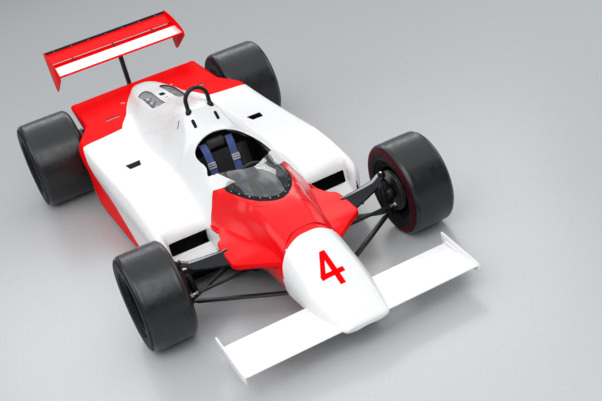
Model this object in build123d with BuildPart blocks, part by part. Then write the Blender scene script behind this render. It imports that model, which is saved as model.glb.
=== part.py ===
"""Open wheel racing car: single seater with wide sidepods, high rear wing and exposed suspension.

Frame: +X forward to the nose, +Y to the driver's left, +Z up, millimetres, ground at Z = 0.
"""

import math
import os
from collections import namedtuple

from build123d import *

os.makedirs("parts", exist_ok=True)

# ---------------------------------------------------------------- driving sizes
WHEELBASE = 2667.0
FRONT_AXLE_X = 1222.0
REAR_AXLE_X = FRONT_AXLE_X - WHEELBASE
FRONT_TRACK_HALF = 883.5
REAR_TRACK_HALF = 832.0
NOSE_TIP_X = 2185.0
REAR_END_X = -2185.0

NOSE_SEAM_X = 1612.0  # nose cone to tub
SURROUND_SEAM_X = 791.0  # red scuttle to white cockpit surround
COVER_SEAM_X = 60.0  # cockpit surround to engine cover
TUB_TOP_Z = 440.0  # flange between tub side and upper body panels
TUB_END_X = -400.0
POD_SEAM_X = -900.0  # sidepods to rear deck
DECK_END_X = -1698.0
SKIN = 14.0  # body panel thickness
TUB_WALL = 24.0

KINGPIN_Y = 700.0
LOWER_BALL_Z = 170.0
UPPER_BALL_Z = 432.0
PIN_R = 9.0
PIN_BORE_R = 9.05
AXLE_R = 26.0
AXLE_BORE_R = 26.05
STEER_ARM = 110.0  # arm length ahead of the kingpin
RACK_Z = 268.0

# ---------------------------------------------------------------- helpers


def across(x):
    """Plane normal to X: local x is Y, local y is Z."""
    return Plane(origin=(x, 0, 0), x_dir=(0, 1, 0), z_dir=(1, 0, 0))


def along(y):
    """Plane normal to Y: local x is X, local y is Z, extrusion goes to +Y when negative."""
    return Plane(origin=(0, y, 0), x_dir=(1, 0, 0), z_dir=(0, -1, 0))


def ring(plane, points):
    """Closed polygon face on a plane."""
    with BuildSketch(plane, mode=Mode.PRIVATE) as face:
        with BuildLine():
            Polyline(*points, close=True)
        make_face()
    return face.sketch


def arch(s, inset=0.0, floor=None):
    """Body cross section: flat floor, upright sides, sloped shoulders and an arc crown."""
    zb = s.zb + inset if floor is None else floor
    with BuildSketch(across(s.x), mode=Mode.PRIVATE) as face:
        with BuildLine():
            wb, ws, wt = s.wb - inset, s.ws - inset, s.wt - 0.8 * inset
            zs, zc, zt = s.zs, s.zc - 0.7 * inset, s.zt - inset
            Polyline((-wt, zc), (-ws, zs), (-wb, zb), (wb, zb), (ws, zs), (wt, zc))
            ThreePointArc((wt, zc), (0, zt), (-wt, zc))
        make_face()
    return face.sketch


def rod(a, b, r):
    """Round bar from a to b, added to the open part."""
    d = Vector(*b) - Vector(*a)
    with BuildSketch(Plane(origin=a, z_dir=d), mode=Mode.PRIVATE) as face:
        Circle(r)
    extrude(face.sketch, amount=d.length)


def drum(x, y0, y1, z, r, mode=Mode.ADD):
    """Cylinder on an axis along Y, added to or cut from the open part."""
    with BuildSketch(Plane(origin=(x, y0, z), x_dir=(1, 0, 0), z_dir=(0, 1, 0)), mode=Mode.PRIVATE) as face:
        Circle(r)
    extrude(face.sketch, amount=y1 - y0, mode=mode)


def post(x, y, z0, z1, r, mode=Mode.ADD):
    """Cylinder on an axis along Z, added to or cut from the open part."""
    with BuildSketch(Plane(origin=(x, y, z0)), mode=Mode.PRIVATE) as face:
        Circle(r)
    extrude(face.sketch, amount=z1 - z0, mode=mode)


def slab(x0, x1, y0, y1, z0, z1, mode=Mode.ADD):
    """Box between limits, added to or cut from the open part."""
    with BuildSketch(Plane(origin=((x0 + x1) / 2, (y0 + y1) / 2, z0)), mode=Mode.PRIVATE) as face:
        Rectangle(abs(x1 - x0), abs(y1 - y0))
    extrude(face.sketch, amount=z1 - z0, mode=mode)


def save(part, name):
    part.label = name
    export_step(part, f"parts/{name}.step")


# ---------------------------------------------------------------- body sections
Arch = namedtuple("Arch", "x wb zb ws zs wt zc zt")
HULL = [
    Arch(NOSE_SEAM_X, 205, 150, 215, 300, 150, 450, 520),
    Arch(1392, 205, 172, 262, 335, 155, 535, 577),
    Arch(1240, 222, 160, 290, 372, 160, 568, 600),
    Arch(1000, 315, 90, 336, 405, 200, 588, 618),
    Arch(SURROUND_SEAM_X, 335, 60, 352, 430, 246, 582, 640),
    Arch(640, 335, 60, 350, 450, 236, 640, 702),
    Arch(400, 335, 60, 346, 460, 215, 662, 722),
    Arch(222, 335, 60, 338, 480, 150, 706, 748),
    Arch(109, 335, 60, 325, 495, 96, 862, 886),
    Arch(COVER_SEAM_X, 335, 60, 322, 500, 98, 858, 884),
]
COVER = [
    Arch(COVER_SEAM_X, 322, TUB_TOP_Z, 322, 500, 98, 858, 884),
    Arch(-300, 318, TUB_TOP_Z, 308, 520, 118, 782, 814),
    Arch(-680, 300, TUB_TOP_Z, 285, 550, 148, 716, 745),
    Arch(-1050, 270, 480, 262, 580, 140, 696, 720),
    Arch(-1300, 190, 530, 180, 600, 100, 666, 682),
    Arch(-1500, 95, 560, 90, 608, 50, 630, 640),
]
NOSE = [
    Arch(NOSE_TIP_X, 120, 138, 130, 150, 110, 162, 168),
    Arch(2120, 138, 128, 152, 160, 120, 196, 212),
    Arch(1860, 190, 130, 203, 200, 150, 285, 325),
    Arch(NOSE_SEAM_X, 205, 150, 215, 300, 150, 450, 520),
]

hull = loft([arch(s) for s in HULL], ruled=True)
hull_inside = loft([arch(s, TUB_WALL) for s in HULL], ruled=True)
cover_solid = loft([arch(s) for s in COVER], ruled=True)
cover_inside = loft([arch(s, SKIN, floor=TUB_TOP_Z - 40) for s in COVER], ruled=True)

# cockpit opening in plan, rear end to front end
COCKPIT = [(265, 0), (284, 102), (335, 181), (440, 208), (590, 213), (665, 230), (735, 196), (842, 190), (940, 180), (1020, 166), (1100, 145), (1170, 113), (1230, 73), (1262, 35), (1270, 0)]
with BuildSketch(Plane.XY.offset(470), mode=Mode.PRIVATE) as cockpit_plan:
    with BuildLine():
        Polyline(*COCKPIT, *[(x, -y) for x, y in reversed(COCKPIT[1:-1])], close=True)
    make_face()
cockpit_cut = extrude(cockpit_plan.sketch, amount=500, mode=Mode.PRIVATE)

# ---------------------------------------------------------------- tub and upper body
with BuildPart() as monocoque:
    add(hull)
    slab(TUB_END_X, SURROUND_SEAM_X, -600, 600, TUB_TOP_Z, 1200, mode=Mode.SUBTRACT)
    with BuildSketch(Plane(origin=(0, 0, 0)), mode=Mode.PRIVATE) as tank_plan:
        with Locations(((TUB_END_X + COVER_SEAM_X) / 2, 0)):
            Rectangle(COVER_SEAM_X - TUB_END_X, 640)
    extrude(Location((0, 0, 60)) * tank_plan.sketch, amount=TUB_TOP_Z - 60)
    with BuildPart(mode=Mode.PRIVATE) as footwell:
        add(hull_inside)
        slab(1560, 1700, -600, 600, 0, 1200, mode=Mode.SUBTRACT)
        slab(0, 190, -600, 600, 0, 1200, mode=Mode.SUBTRACT)
    add(footwell.part, mode=Mode.SUBTRACT)
    add(cockpit_cut, mode=Mode.SUBTRACT)
    for side in (1, -1):  # slots for the track rods
        slab(FRONT_AXLE_X + STEER_ARM - 30, FRONT_AXLE_X + STEER_ARM + 30, side * 180, side * 340, RACK_Z - 22, RACK_Z + 22, mode=Mode.SUBTRACT)
save(monocoque.part, "monocoque")

with BuildPart() as cockpit_surround:
    add(hull)
    slab(SURROUND_SEAM_X, 2000, -600, 600, 0, 1200, mode=Mode.SUBTRACT)
    slab(0, SURROUND_SEAM_X, -600, 600, 0, TUB_TOP_Z, mode=Mode.SUBTRACT)
    with BuildPart(mode=Mode.PRIVATE) as surround_inside:
        add(hull_inside)
        slab(0, 190, -600, 600, 0, 1200, mode=Mode.SUBTRACT)
    add(surround_inside.part, mode=Mode.SUBTRACT)
    add(cockpit_cut, mode=Mode.SUBTRACT)
save(cockpit_surround.part, "cockpit_surround")

with BuildPart() as engine_cover:
    add(cover_solid)
    add(cover_inside, mode=Mode.SUBTRACT)
    for side in (1, -1):  # intake windows
        slab(-1085, -570, side * 46, side * 132, 600, 900, mode=Mode.SUBTRACT)
save(engine_cover.part, "engine_cover")

with BuildPart() as nose_cone:
    loft([arch(s) for s in NOSE], ruled=True)
save(nose_cone.part, "nose_cone")

# ---------------------------------------------------------------- front suspension fairings
Fair = namedtuple("Fair", "x yo zb zt zi")
FAIRING = [
    Fair(1575, 204, 328, 366, 388),
    Fair(1460, 331, 330, 368, 404),
    Fair(1385, 419, 334, 371, 408),
    Fair(1360, 430, 336, 376, 410),
    Fair(1172, 425, 365, 412, 424),
    Fair(1130, 414, 370, 415, 430),
    Fair(1010, 340, 380, 440, 500),
]
with BuildPart() as suspension_fairings:
    loft([ring(across(f.x), [(180, f.zb), (f.yo, f.zb), (f.yo, f.zt), (180, f.zi)]) for f in FAIRING], ruled=True)
    add(hull, mode=Mode.SUBTRACT)
    mirror(about=Plane.XZ)
save(suspension_fairings.part, "suspension_fairings")

# ---------------------------------------------------------------- sidepods
MOUTH_X, MOUTH_Y0, MOUTH_Y1, MOUTH_Z0, MOUTH_Z1 = 795.0, 358.0, 632.0, 266.0, 362.0
Pod = namedtuple("Pod", "x yi yo zb zti zto edge")
POD = [
    Pod(895, 300, 676, 160, 325, 325, 24),
    Pod(860, 300, 698, 95, 392, 396, 28),
    Pod(750, 300, 700, 62, 430, 446, 32),
    Pod(620, 300, 700, 55, 464, 476, 36),
    Pod(350, 300, 700, 50, 518, 522, 36),
    Pod(-271, 290, 700, 50, 524, 528, 36),
    Pod(POD_SEAM_X, 250, 700, 60, 578, 545, 36),
]


def pod_ring(p, inset=0.0):
    yo, zb = p.yo - inset, p.zb - (40 if inset else 0)
    return ring(across(p.x), [(p.yi, zb), (yo, zb), (yo, p.zto - p.edge - 0.4 * inset), (yo - p.edge, p.zto - inset), (p.yi, p.zti - inset)])


pod_solid = loft([pod_ring(p) for p in POD], ruled=True)
pod_inside = loft([pod_ring(p, SKIN) for p in POD], ruled=True)
for side, name in ((1, "sidepod_left"), (-1, "sidepod_right")):
    with BuildPart() as sidepod:
        add(pod_solid)
        with BuildPart(mode=Mode.PRIVATE) as pod_hollow:
            add(pod_inside)
            slab(MOUTH_X - SKIN, 950, 0, 800, -100, 900, mode=Mode.SUBTRACT)
        add(pod_hollow.part, mode=Mode.SUBTRACT)
        slab(MOUTH_X, 950, 200, MOUTH_Y1 + 8, MOUTH_Z0, 700, mode=Mode.SUBTRACT)  # recess ahead of the mouth
        slab(MOUTH_X - 60, 950, MOUTH_Y0, MOUTH_Y1, MOUTH_Z0, MOUTH_Z1, mode=Mode.SUBTRACT)  # mouth
        with BuildSketch(Plane.XY.offset(440), mode=Mode.PRIVATE) as vent:
            with BuildLine():
                Polyline((-204, 440), (-198, 526), (-290, 534), (-290, 427), close=True)
            make_face()
        extrude(vent.sketch, amount=150, mode=Mode.SUBTRACT)
        add(hull, mode=Mode.SUBTRACT)
        add(cover_solid, mode=Mode.SUBTRACT)
        slab(TUB_END_X, COVER_SEAM_X, 0, 320, 0, TUB_TOP_Z, mode=Mode.SUBTRACT)
    save(sidepod.part if side > 0 else mirror(sidepod.part, about=Plane.XZ), name)

# ---------------------------------------------------------------- rear deck
Deck = namedtuple("Deck", "x yo zo zi zb")
DECK = [
    Deck(POD_SEAM_X, 700, 545, 585, 60),
    Deck(-1010, 690, 550, 592, 150),
    Deck(-1100, 640, 556, 598, 320),
    Deck(-1230, 574, 575, 606, 470),
    Deck(DECK_END_X, 557, 612, 626, 575),
]


def deck_ring(d, inset=0.0):
    yo, zo, zi = d.yo - inset, d.zo - inset, d.zi - inset
    zb = d.zb - (60 if inset else 0)
    return ring(across(d.x), [(-yo, zb), (yo, zb), (yo, zo - 30), (yo - 30, zo), (230, zi), (-230, zi), (-yo + 30, zo), (-yo, zo - 30)])


with BuildPart() as rear_deck:
    loft([deck_ring(d) for d in DECK], ruled=True)
    loft([deck_ring(d, SKIN) for d in DECK], ruled=True, mode=Mode.SUBTRACT)
    add(cover_solid, mode=Mode.SUBTRACT)
    for side in (1, -1):  # deck slots
        slab(-1150, -1085, side * 405, side * 520, 500, 700, mode=Mode.SUBTRACT)
save(rear_deck.part, "rear_deck")

# ---------------------------------------------------------------- floor and tunnels
FLOOR = [(800, 44), (POD_SEAM_X, 44), (-1040, 64), (-1350, 150), (-1350, 162), (-1040, 76), (POD_SEAM_X, 56), (800, 56)]
with BuildPart() as underfloor:
    with BuildSketch(along(640), mode=Mode.PRIVATE) as floor_side:
        with BuildLine():
            Polyline(*[p for p in FLOOR], close=True)
        make_face()
    extrude(floor_side.sketch, amount=1280)
    for side in (1, -1):  # clear of the rear wheels and the gearbox
        slab(-1700, -1010, side * 520, side * 700, 0, 400, mode=Mode.SUBTRACT)
    slab(-1700, -1040, -140, 140, 0, 400, mode=Mode.SUBTRACT)
save(underfloor.part, "underfloor")

# ---------------------------------------------------------------- things seen in the openings
with BuildPart() as radiators:
    with BuildSketch(along(380), mode=Mode.PRIVATE) as core:
        with BuildLine():
            Polyline((640, 80), (700, 80), (620, 395), (560, 395), close=True)
        make_face()
    extrude(core.sketch, amount=-280)
    mirror(about=Plane.XZ)
save(radiators.part, "radiators")

SEAT = [(262, 600), (300, 600), (420, 150), (640, 120), (860, 175), (868, 152), (645, 96), (398, 122)]
with BuildPart() as seat:
    with BuildSketch(along(-185), mode=Mode.PRIVATE) as seat_side:
        with BuildLine():
            Polyline(*SEAT, close=True)
        make_face()
    extrude(seat_side.sketch, amount=-370)
save(seat.part, "seat")

with BuildPart() as headrest:
    slab(214, 268, -70, 70, 612, 690)
save(headrest.part, "headrest")

BELT = [(302, 606), (306, 607), (428, 165), (424, 160)]
with BuildPart() as shoulder_belts:
    with BuildSketch(along(60), mode=Mode.PRIVATE) as belt_side:
        with BuildLine():
            Polyline(*BELT, close=True)
        make_face()
    extrude(belt_side.sketch, amount=-50)
    mirror(about=Plane.XZ)
save(shoulder_belts.part, "shoulder_belts")

with BuildPart() as roll_hoop:
    with BuildSketch(Plane(origin=(100, 80, 835)), mode=Mode.PRIVATE) as tube:
        Circle(15)
    with BuildLine(mode=Mode.PRIVATE) as hoop_path:
        Line((100, 80, 835), (100, 80, 937))
        ThreePointArc((100, 80, 937), (100, 0, 1017), (100, -80, 937))
        Line((100, -80, 937), (100, -80, 835))
    sweep(tube.sketch, path=hoop_path.wire())
    for side in (1, -1):
        post(100, side * 80, 835, 876, 23)
save(roll_hoop.part, "roll_hoop")

with BuildPart() as windscreen:
    base = [(745, 208), (800, 207), (940, 196), (1040, 177), (1120, 153), (1200, 110), (1250, 68), (1283, 0)]
    top = [(745, 186), (800, 150), (835, 122), (865, 95), (893, 65), (915, 40), (928, 22), (935, 0)]
    low = [*base, *[(x, -y) for x, y in base[-2::-1]]]
    high = [*top, *[(x, -y) for x, y in top[-2::-1]]]
    low = ring(Plane.XY.offset(582), low + [(x - 4, y * 0.975) for x, y in reversed(low)])
    high = ring(Plane.XY.offset(699), high + [(x - 4, y * 0.975) for x, y in reversed(high)])
    loft([low, high], ruled=True)
    add(hull, mode=Mode.SUBTRACT)
save(windscreen.part, "windscreen")

# ---------------------------------------------------------------- engine and gearbox
ENGINE_X0, ENGINE_X1 = TUB_END_X, -1060.0
GEARBOX_END_X = -1905.0
with BuildPart() as engine:
    slab(ENGINE_X1, ENGINE_X0, -190, 190, 90, 540)
save(engine.part, "engine")

with BuildPart() as gearbox:
    slab(-1250, ENGINE_X1, -125, 125, 120, 420)
    slab(GEARBOX_END_X, -1250, -95, 95, 150, 400)
    for side in (1, -1):
        drum(REAR_AXLE_X, side * 90, side * 130, 341, 60)
    drum(REAR_AXLE_X, -131, 131, 341, 30.05, mode=Mode.SUBTRACT)
save(gearbox.part, "gearbox")

TRUMPET_X = (-655, -770, -885, -1000)
with BuildPart() as intake_trumpets:
    for x in TRUMPET_X:
        for side in (1, -1):
            with BuildSketch(Plane(origin=(x, side * 84, 540)), mode=Mode.PRIVATE) as foot:
                Circle(20)
            with BuildSketch(Plane(origin=(x, side * 84, 668)), mode=Mode.PRIVATE) as mouth:
                Circle(26)
            loft([foot.sketch, mouth.sketch], ruled=True)
            post(x, side * 84, 560, 669, 17, mode=Mode.SUBTRACT)
save(intake_trumpets.part, "intake_trumpets")

# ---------------------------------------------------------------- wings
Foil = namedtuple("Foil", "le te camber thick")


def foil(plane, f):
    """Closed wing section: two arcs from leading to trailing edge and a short blunt tail."""
    (x0, z0), (x1, z1) = f.le, f.te
    mx, mz = (x0 + x1) / 2, (z0 + z1) / 2
    with BuildSketch(plane, mode=Mode.PRIVATE) as face:
        with BuildLine():
            ThreePointArc((x0, z0), (mx, mz + f.camber + f.thick / 2), (x1, z1 + 3))
            Line((x1, z1 + 3), (x1, z1 - 3))
            ThreePointArc((x1, z1 - 3), (mx, mz + f.camber - f.thick / 2), (x0, z0))
        make_face()
    return face.sketch


FRONT_WING = Foil((2157, 149), (1828, 173), -4, 34)
FRONT_WING_TIP_Y, FRONT_WING_ROOT_Y = 731, 120
REAR_MAIN = Foil((-1759, 853), (-2005, 906), -8, 24)
REAR_FLAP = Foil((-1985, 920), (-2182, 966), -5, 16)
REAR_WING_TIP_Y = 548

with BuildPart() as front_wing:
    extrude(foil(along(FRONT_WING_ROOT_Y), FRONT_WING), amount=-(FRONT_WING_TIP_Y - FRONT_WING_ROOT_Y))
    add(nose_cone.part, mode=Mode.SUBTRACT)
    mirror(about=Plane.XZ)
save(front_wing.part, "front_wing")

with BuildPart() as front_wing_endplates:
    extrude(ring(along(FRONT_WING_TIP_Y), [(2172, 118), (2172, 172), (1788, 232), (1788, 128)]), amount=-10)
    mirror(about=Plane.XZ)
save(front_wing_endplates.part, "front_wing_endplates")

for name, shape in (("rear_wing_main", REAR_MAIN), ("rear_wing_flap", REAR_FLAP)):
    with BuildPart() as plane_part:
        extrude(foil(along(-REAR_WING_TIP_Y), shape), amount=-2 * REAR_WING_TIP_Y)
    save(plane_part.part, name)
    if name == "rear_wing_main":
        rear_main_solid = plane_part.part

with BuildPart() as rear_wing_endplates:
    extrude(ring(along(REAR_WING_TIP_Y), [(-1742, 835), (-1742, 884), (-1830, 922), (-1960, 962), (-2080, 984), (REAR_END_X, 990), (-2122, 650), (-2080, 650)]), amount=-8)
    mirror(about=Plane.XZ)
save(rear_wing_endplates.part, "rear_wing_endplates")

with BuildPart() as rear_wing_post:
    slab(-1888, -1828, -17, 17, 400, 868)
    add(rear_main_solid, mode=Mode.SUBTRACT)
save(rear_wing_post.part, "rear_wing_post")

# ---------------------------------------------------------------- front suspension
with BuildPart() as front_rocker_arms:
    inner = ring(along(400), [(1228, 374), (1345, 342), (1345, 370), (1228, 406)])
    outer = ring(along(KINGPIN_Y - 8), [(1198, 416), (1256, 404), (1256, 430), (1198, 448)])
    loft([inner, outer], ruled=True)
    post(FRONT_AXLE_X, KINGPIN_Y, UPPER_BALL_Z - 14, UPPER_BALL_Z + 20, 24)
    post(FRONT_AXLE_X, KINGPIN_Y, 300, 500, PIN_BORE_R, mode=Mode.SUBTRACT)
    mirror(about=Plane.XZ)
save(front_rocker_arms.part, "front_rocker_arms")

with BuildPart() as front_lower_wishbones:
    rod((1600, 190, 165), (FRONT_AXLE_X, KINGPIN_Y, LOWER_BALL_Z), 14)
    rod((952, 312, 155), (FRONT_AXLE_X, KINGPIN_Y, LOWER_BALL_Z), 14)
    post(FRONT_AXLE_X, KINGPIN_Y, LOWER_BALL_Z - 18, LOWER_BALL_Z + 18, 24)
    post(FRONT_AXLE_X, KINGPIN_Y, 100, 300, PIN_BORE_R, mode=Mode.SUBTRACT)
    mirror(about=Plane.XZ)
save(front_lower_wishbones.part, "front_lower_wishbones")

for side, name in ((1, "front_upright_left"), (-1, "front_upright_right")):
    with BuildPart() as upright:
        slab(FRONT_AXLE_X - 32, FRONT_AXLE_X + 32, KINGPIN_Y - 18, KINGPIN_Y + 22, LOWER_BALL_Z + 26, UPPER_BALL_Z - 30)
        post(FRONT_AXLE_X, KINGPIN_Y, LOWER_BALL_Z - 18, UPPER_BALL_Z + 20, PIN_R)
        drum(FRONT_AXLE_X, KINGPIN_Y - 10, KINGPIN_Y + 34, 303, 62)
        drum(FRONT_AXLE_X, KINGPIN_Y, FRONT_TRACK_HALF + 20, 303, AXLE_R)
        slab(FRONT_AXLE_X, FRONT_AXLE_X + STEER_ARM + 16, KINGPIN_Y - 14, KINGPIN_Y + 14, RACK_Z - 36, RACK_Z - 20)
    save(upright.part if side > 0 else mirror(upright.part, about=Plane.XZ), name)

with BuildPart() as steering_rack:
    rod((FRONT_AXLE_X + STEER_ARM, -KINGPIN_Y, RACK_Z), (FRONT_AXLE_X + STEER_ARM, KINGPIN_Y, RACK_Z), 9)
    for side in (1, -1):
        post(FRONT_AXLE_X + STEER_ARM, side * KINGPIN_Y, RACK_Z - 13, RACK_Z + 13, 15)
save(steering_rack.part, "steering_rack")

COLUMN_FRONT = Vector(1340, 0, 463)
WHEEL_CENTRE = Vector(855, 0, 593)
column_dir = (WHEEL_CENTRE - COLUMN_FRONT).normalized()
with BuildPart() as steering_wheel:
    wheel_plane = Plane(origin=WHEEL_CENTRE, x_dir=(0, 1, 0), z_dir=column_dir)
    rim_centre = wheel_plane.from_local_coords(Vector(105, 0, 0))
    with BuildSketch(Plane(origin=rim_centre, x_dir=(0, 1, 0), z_dir=wheel_plane.y_dir), mode=Mode.PRIVATE) as grip:
        Circle(12)
    revolve(grip.sketch, axis=Axis(WHEEL_CENTRE, column_dir), revolution_arc=360)
    with BuildSketch(wheel_plane, mode=Mode.PRIVATE) as spokes:
        Circle(34)
        Rectangle(212, 26)
        with Locations((0, -54)):
            Rectangle(26, 104)
    extrude(spokes.sketch, amount=5, both=True)
    rod(tuple(WHEEL_CENTRE), tuple(COLUMN_FRONT), 12)
save(steering_wheel.part, "steering_wheel")

# ---------------------------------------------------------------- wheels
Wheel = namedtuple("Wheel", "name x y z radius half shoulder rim_half flange disc_in disc_out hub_in hub_out")
WHEELS = [
    Wheel("front_left", FRONT_AXLE_X, FRONT_TRACK_HALF, 303, 303, 147.5, 40, 127, 182, -34, -14, -138, 8),
    Wheel("front_right", FRONT_AXLE_X, -FRONT_TRACK_HALF, 303, 303, 147.5, 40, 127, 182, -34, -14, -138, 8),
    Wheel("rear_left", REAR_AXLE_X, REAR_TRACK_HALF, 341, 341, 210, 52, 188, 198, -34, -10, -150, 10),
    Wheel("rear_right", REAR_AXLE_X, -REAR_TRACK_HALF, 341, 341, 210, 52, 188, 198, -34, -10, -150, 10),
]
BEAD_R, BARREL_R, HUB_R = 166.0, 152.0, 46.0


def spin(points, w, arcs=()):
    """Ring turned about the wheel axis from a closed outline of (axial, radius) points."""
    frame = Plane(origin=(w.x, abs(w.y), w.z), x_dir=(0, 1, 0), z_dir=(1, 0, 0))
    with BuildSketch(frame, mode=Mode.PRIVATE) as outline:
        with BuildLine():
            Polyline(*points, close=True)
        make_face()
    return outline.sketch


for w in WHEELS:
    axis = Axis((w.x, abs(w.y), w.z), (0, 1, 0))
    bead = w.rim_half - 12
    s = w.shoulder
    diag = s * (1 - math.sqrt(0.5))
    with BuildPart() as tyre:
        frame = Plane(origin=(w.x, abs(w.y), w.z), x_dir=(0, 1, 0), z_dir=(1, 0, 0))
        with BuildSketch(frame, mode=Mode.PRIVATE) as outline:
            with BuildLine():
                Polyline((-w.half, w.radius - s), (-w.half, w.flange + 26), (-bead, w.flange + 2), (-bead, BEAD_R), (bead, BEAD_R), (bead, w.flange + 2), (w.half, w.flange + 26), (w.half, w.radius - s))
                ThreePointArc((w.half, w.radius - s), (w.half - diag, w.radius - diag), (w.half - s, w.radius))
                Line((w.half - s, w.radius), (-w.half + s, w.radius))
                ThreePointArc((-w.half + s, w.radius), (-w.half + diag, w.radius - diag), (-w.half, w.radius - s))
            make_face()
        revolve(outline.sketch, axis=axis, revolution_arc=360)
    save(tyre.part if w.y > 0 else mirror(tyre.part, about=Plane.XZ), f"tyre_{w.name}")
    with BuildPart() as rim:
        rh = w.rim_half
        revolve(
            spin([(-rh, BARREL_R), (-rh, w.flange), (-bead, w.flange), (-bead, BEAD_R), (bead, BEAD_R), (bead, w.flange), (rh, w.flange), (rh, BARREL_R)], w),
            axis=axis,
            revolution_arc=360,
        )
        y0 = abs(w.y)
        drum(w.x, y0 + w.disc_in, y0 + w.disc_out, w.z, BARREL_R + 2)
        drum(w.x, y0 + w.hub_in, y0 + w.hub_out, w.z, HUB_R)
        for k in range(8):
            a = math.radians(45 * k + 22.5)
            drum(w.x + 102 * math.cos(a), y0 + w.disc_in - 1, y0 + w.disc_out + 1, w.z + 102 * math.sin(a), 32, mode=Mode.SUBTRACT)
        drum(w.x, y0 - 300, y0 + 300, w.z, AXLE_BORE_R if w.x > 0 else 30.0, mode=Mode.SUBTRACT)
    save(rim.part if w.y > 0 else mirror(rim.part, about=Plane.XZ), f"rim_{w.name}")

for side, name in ((1, "brake_disc_front_left"), (-1, "brake_disc_front_right")):
    with BuildPart() as disc:
        drum(FRONT_AXLE_X, 748, 770, 303, 132)
        drum(FRONT_AXLE_X, 740, 780, 303, HUB_R, mode=Mode.SUBTRACT)
    save(disc.part if side > 0 else mirror(disc.part, about=Plane.XZ), name)

# ---------------------------------------------------------------- rear suspension
REAR_UPRIGHT_Y0, REAR_UPRIGHT_Y1 = 560.0, 604.0
with BuildPart() as rear_uprights:
    slab(REAR_AXLE_X - 45, REAR_AXLE_X + 45, REAR_UPRIGHT_Y0, REAR_UPRIGHT_Y1, 190, 492)
    drum(REAR_AXLE_X, REAR_UPRIGHT_Y0 - 10, REAR_UPRIGHT_Y1 + 40, 341, 70)
    drum(REAR_AXLE_X, 500, 700, 341, 30.05, mode=Mode.SUBTRACT)
    mirror(about=Plane.XZ)
save(rear_uprights.part, "rear_uprights")

for side, name in ((1, "driveshaft_left"), (-1, "driveshaft_right")):
    with BuildPart() as shaft:
        drum(REAR_AXLE_X, 60, REAR_TRACK_HALF + 10, 341, 30)
    save(shaft.part if side > 0 else mirror(shaft.part, about=Plane.XZ), name)

with BuildPart() as rear_suspension_arms:
    inner = ring(along(90), [(-1330, 398), (-1250, 398), (-1250, 432), (-1330, 432)])
    outer = ring(along(570), [(-1475, 462), (-1415, 462), (-1415, 488), (-1475, 488)])
    loft([inner, outer], ruled=True)
    rod((-1180, 110, 200), (REAR_AXLE_X, 575, 215), 14)
    rod((-1700, 85, 190), (REAR_AXLE_X, 575, 215), 14)
    mirror(about=Plane.XZ)
save(rear_suspension_arms.part, "rear_suspension_arms")
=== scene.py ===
"""Looks of the open wheel racing car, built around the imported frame.

Metres, +X to the nose, +Y to the driver's left, +Z up, ground at Z = 0.
"""

import math

import bmesh
import bpy
import numpy as np
from mathutils import Matrix, Vector


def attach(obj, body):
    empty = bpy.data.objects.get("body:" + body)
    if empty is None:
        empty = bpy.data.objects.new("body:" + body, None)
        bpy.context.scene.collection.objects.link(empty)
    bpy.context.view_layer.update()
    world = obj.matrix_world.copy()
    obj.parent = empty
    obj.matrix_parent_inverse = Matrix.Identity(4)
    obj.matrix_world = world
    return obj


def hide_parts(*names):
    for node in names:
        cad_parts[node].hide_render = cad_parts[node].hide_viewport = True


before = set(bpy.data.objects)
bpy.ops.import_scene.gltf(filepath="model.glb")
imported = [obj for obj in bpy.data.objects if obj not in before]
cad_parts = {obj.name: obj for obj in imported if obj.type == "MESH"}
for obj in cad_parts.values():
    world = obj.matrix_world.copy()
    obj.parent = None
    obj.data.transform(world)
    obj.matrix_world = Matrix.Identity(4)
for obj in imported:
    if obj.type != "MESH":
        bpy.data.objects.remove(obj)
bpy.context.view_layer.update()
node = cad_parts
scene = bpy.context.scene

# ------------------------------------------------------------------ small numeric tools


def through_rows(xs, table, xq):
    """Monotone cubic through table rows at xs, read at xq."""
    xs, t = np.asarray(xs, float), np.asarray(table, float)
    order = np.argsort(xs)
    xs, t = xs[order], t[order]
    shape = t.shape[1:]
    y = t.reshape(len(xs), -1)
    h = np.diff(xs)[:, None]
    d = np.diff(y, axis=0) / h
    m = np.zeros_like(y)
    w1, w2 = 2 * h[1:] + h[:-1], h[1:] + 2 * h[:-1]
    same = d[:-1] * d[1:] > 1e-12
    safe0, safe1 = np.where(same, d[:-1], 1.0), np.where(same, d[1:], 1.0)
    m[1:-1] = np.where(same, (w1 + w2) / (w1 / safe0 + w2 / safe1), 0.0)
    m[0], m[-1] = d[0], d[-1]
    xq = np.asarray(xq, float)
    i = np.clip(np.searchsorted(xs, xq, side="right") - 1, 0, len(xs) - 2)
    hh = (xs[i + 1] - xs[i])[:, None]
    s = (xq - xs[i])[:, None] / hh
    out = (2 * s**3 - 3 * s**2 + 1) * y[i] + (s**3 - 2 * s**2 + s) * hh * m[i] + (3 * s**2 - 2 * s**3) * y[i + 1] + (s**3 - s**2) * hh * m[i + 1]
    return out.reshape((len(xq),) + shape)


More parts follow.
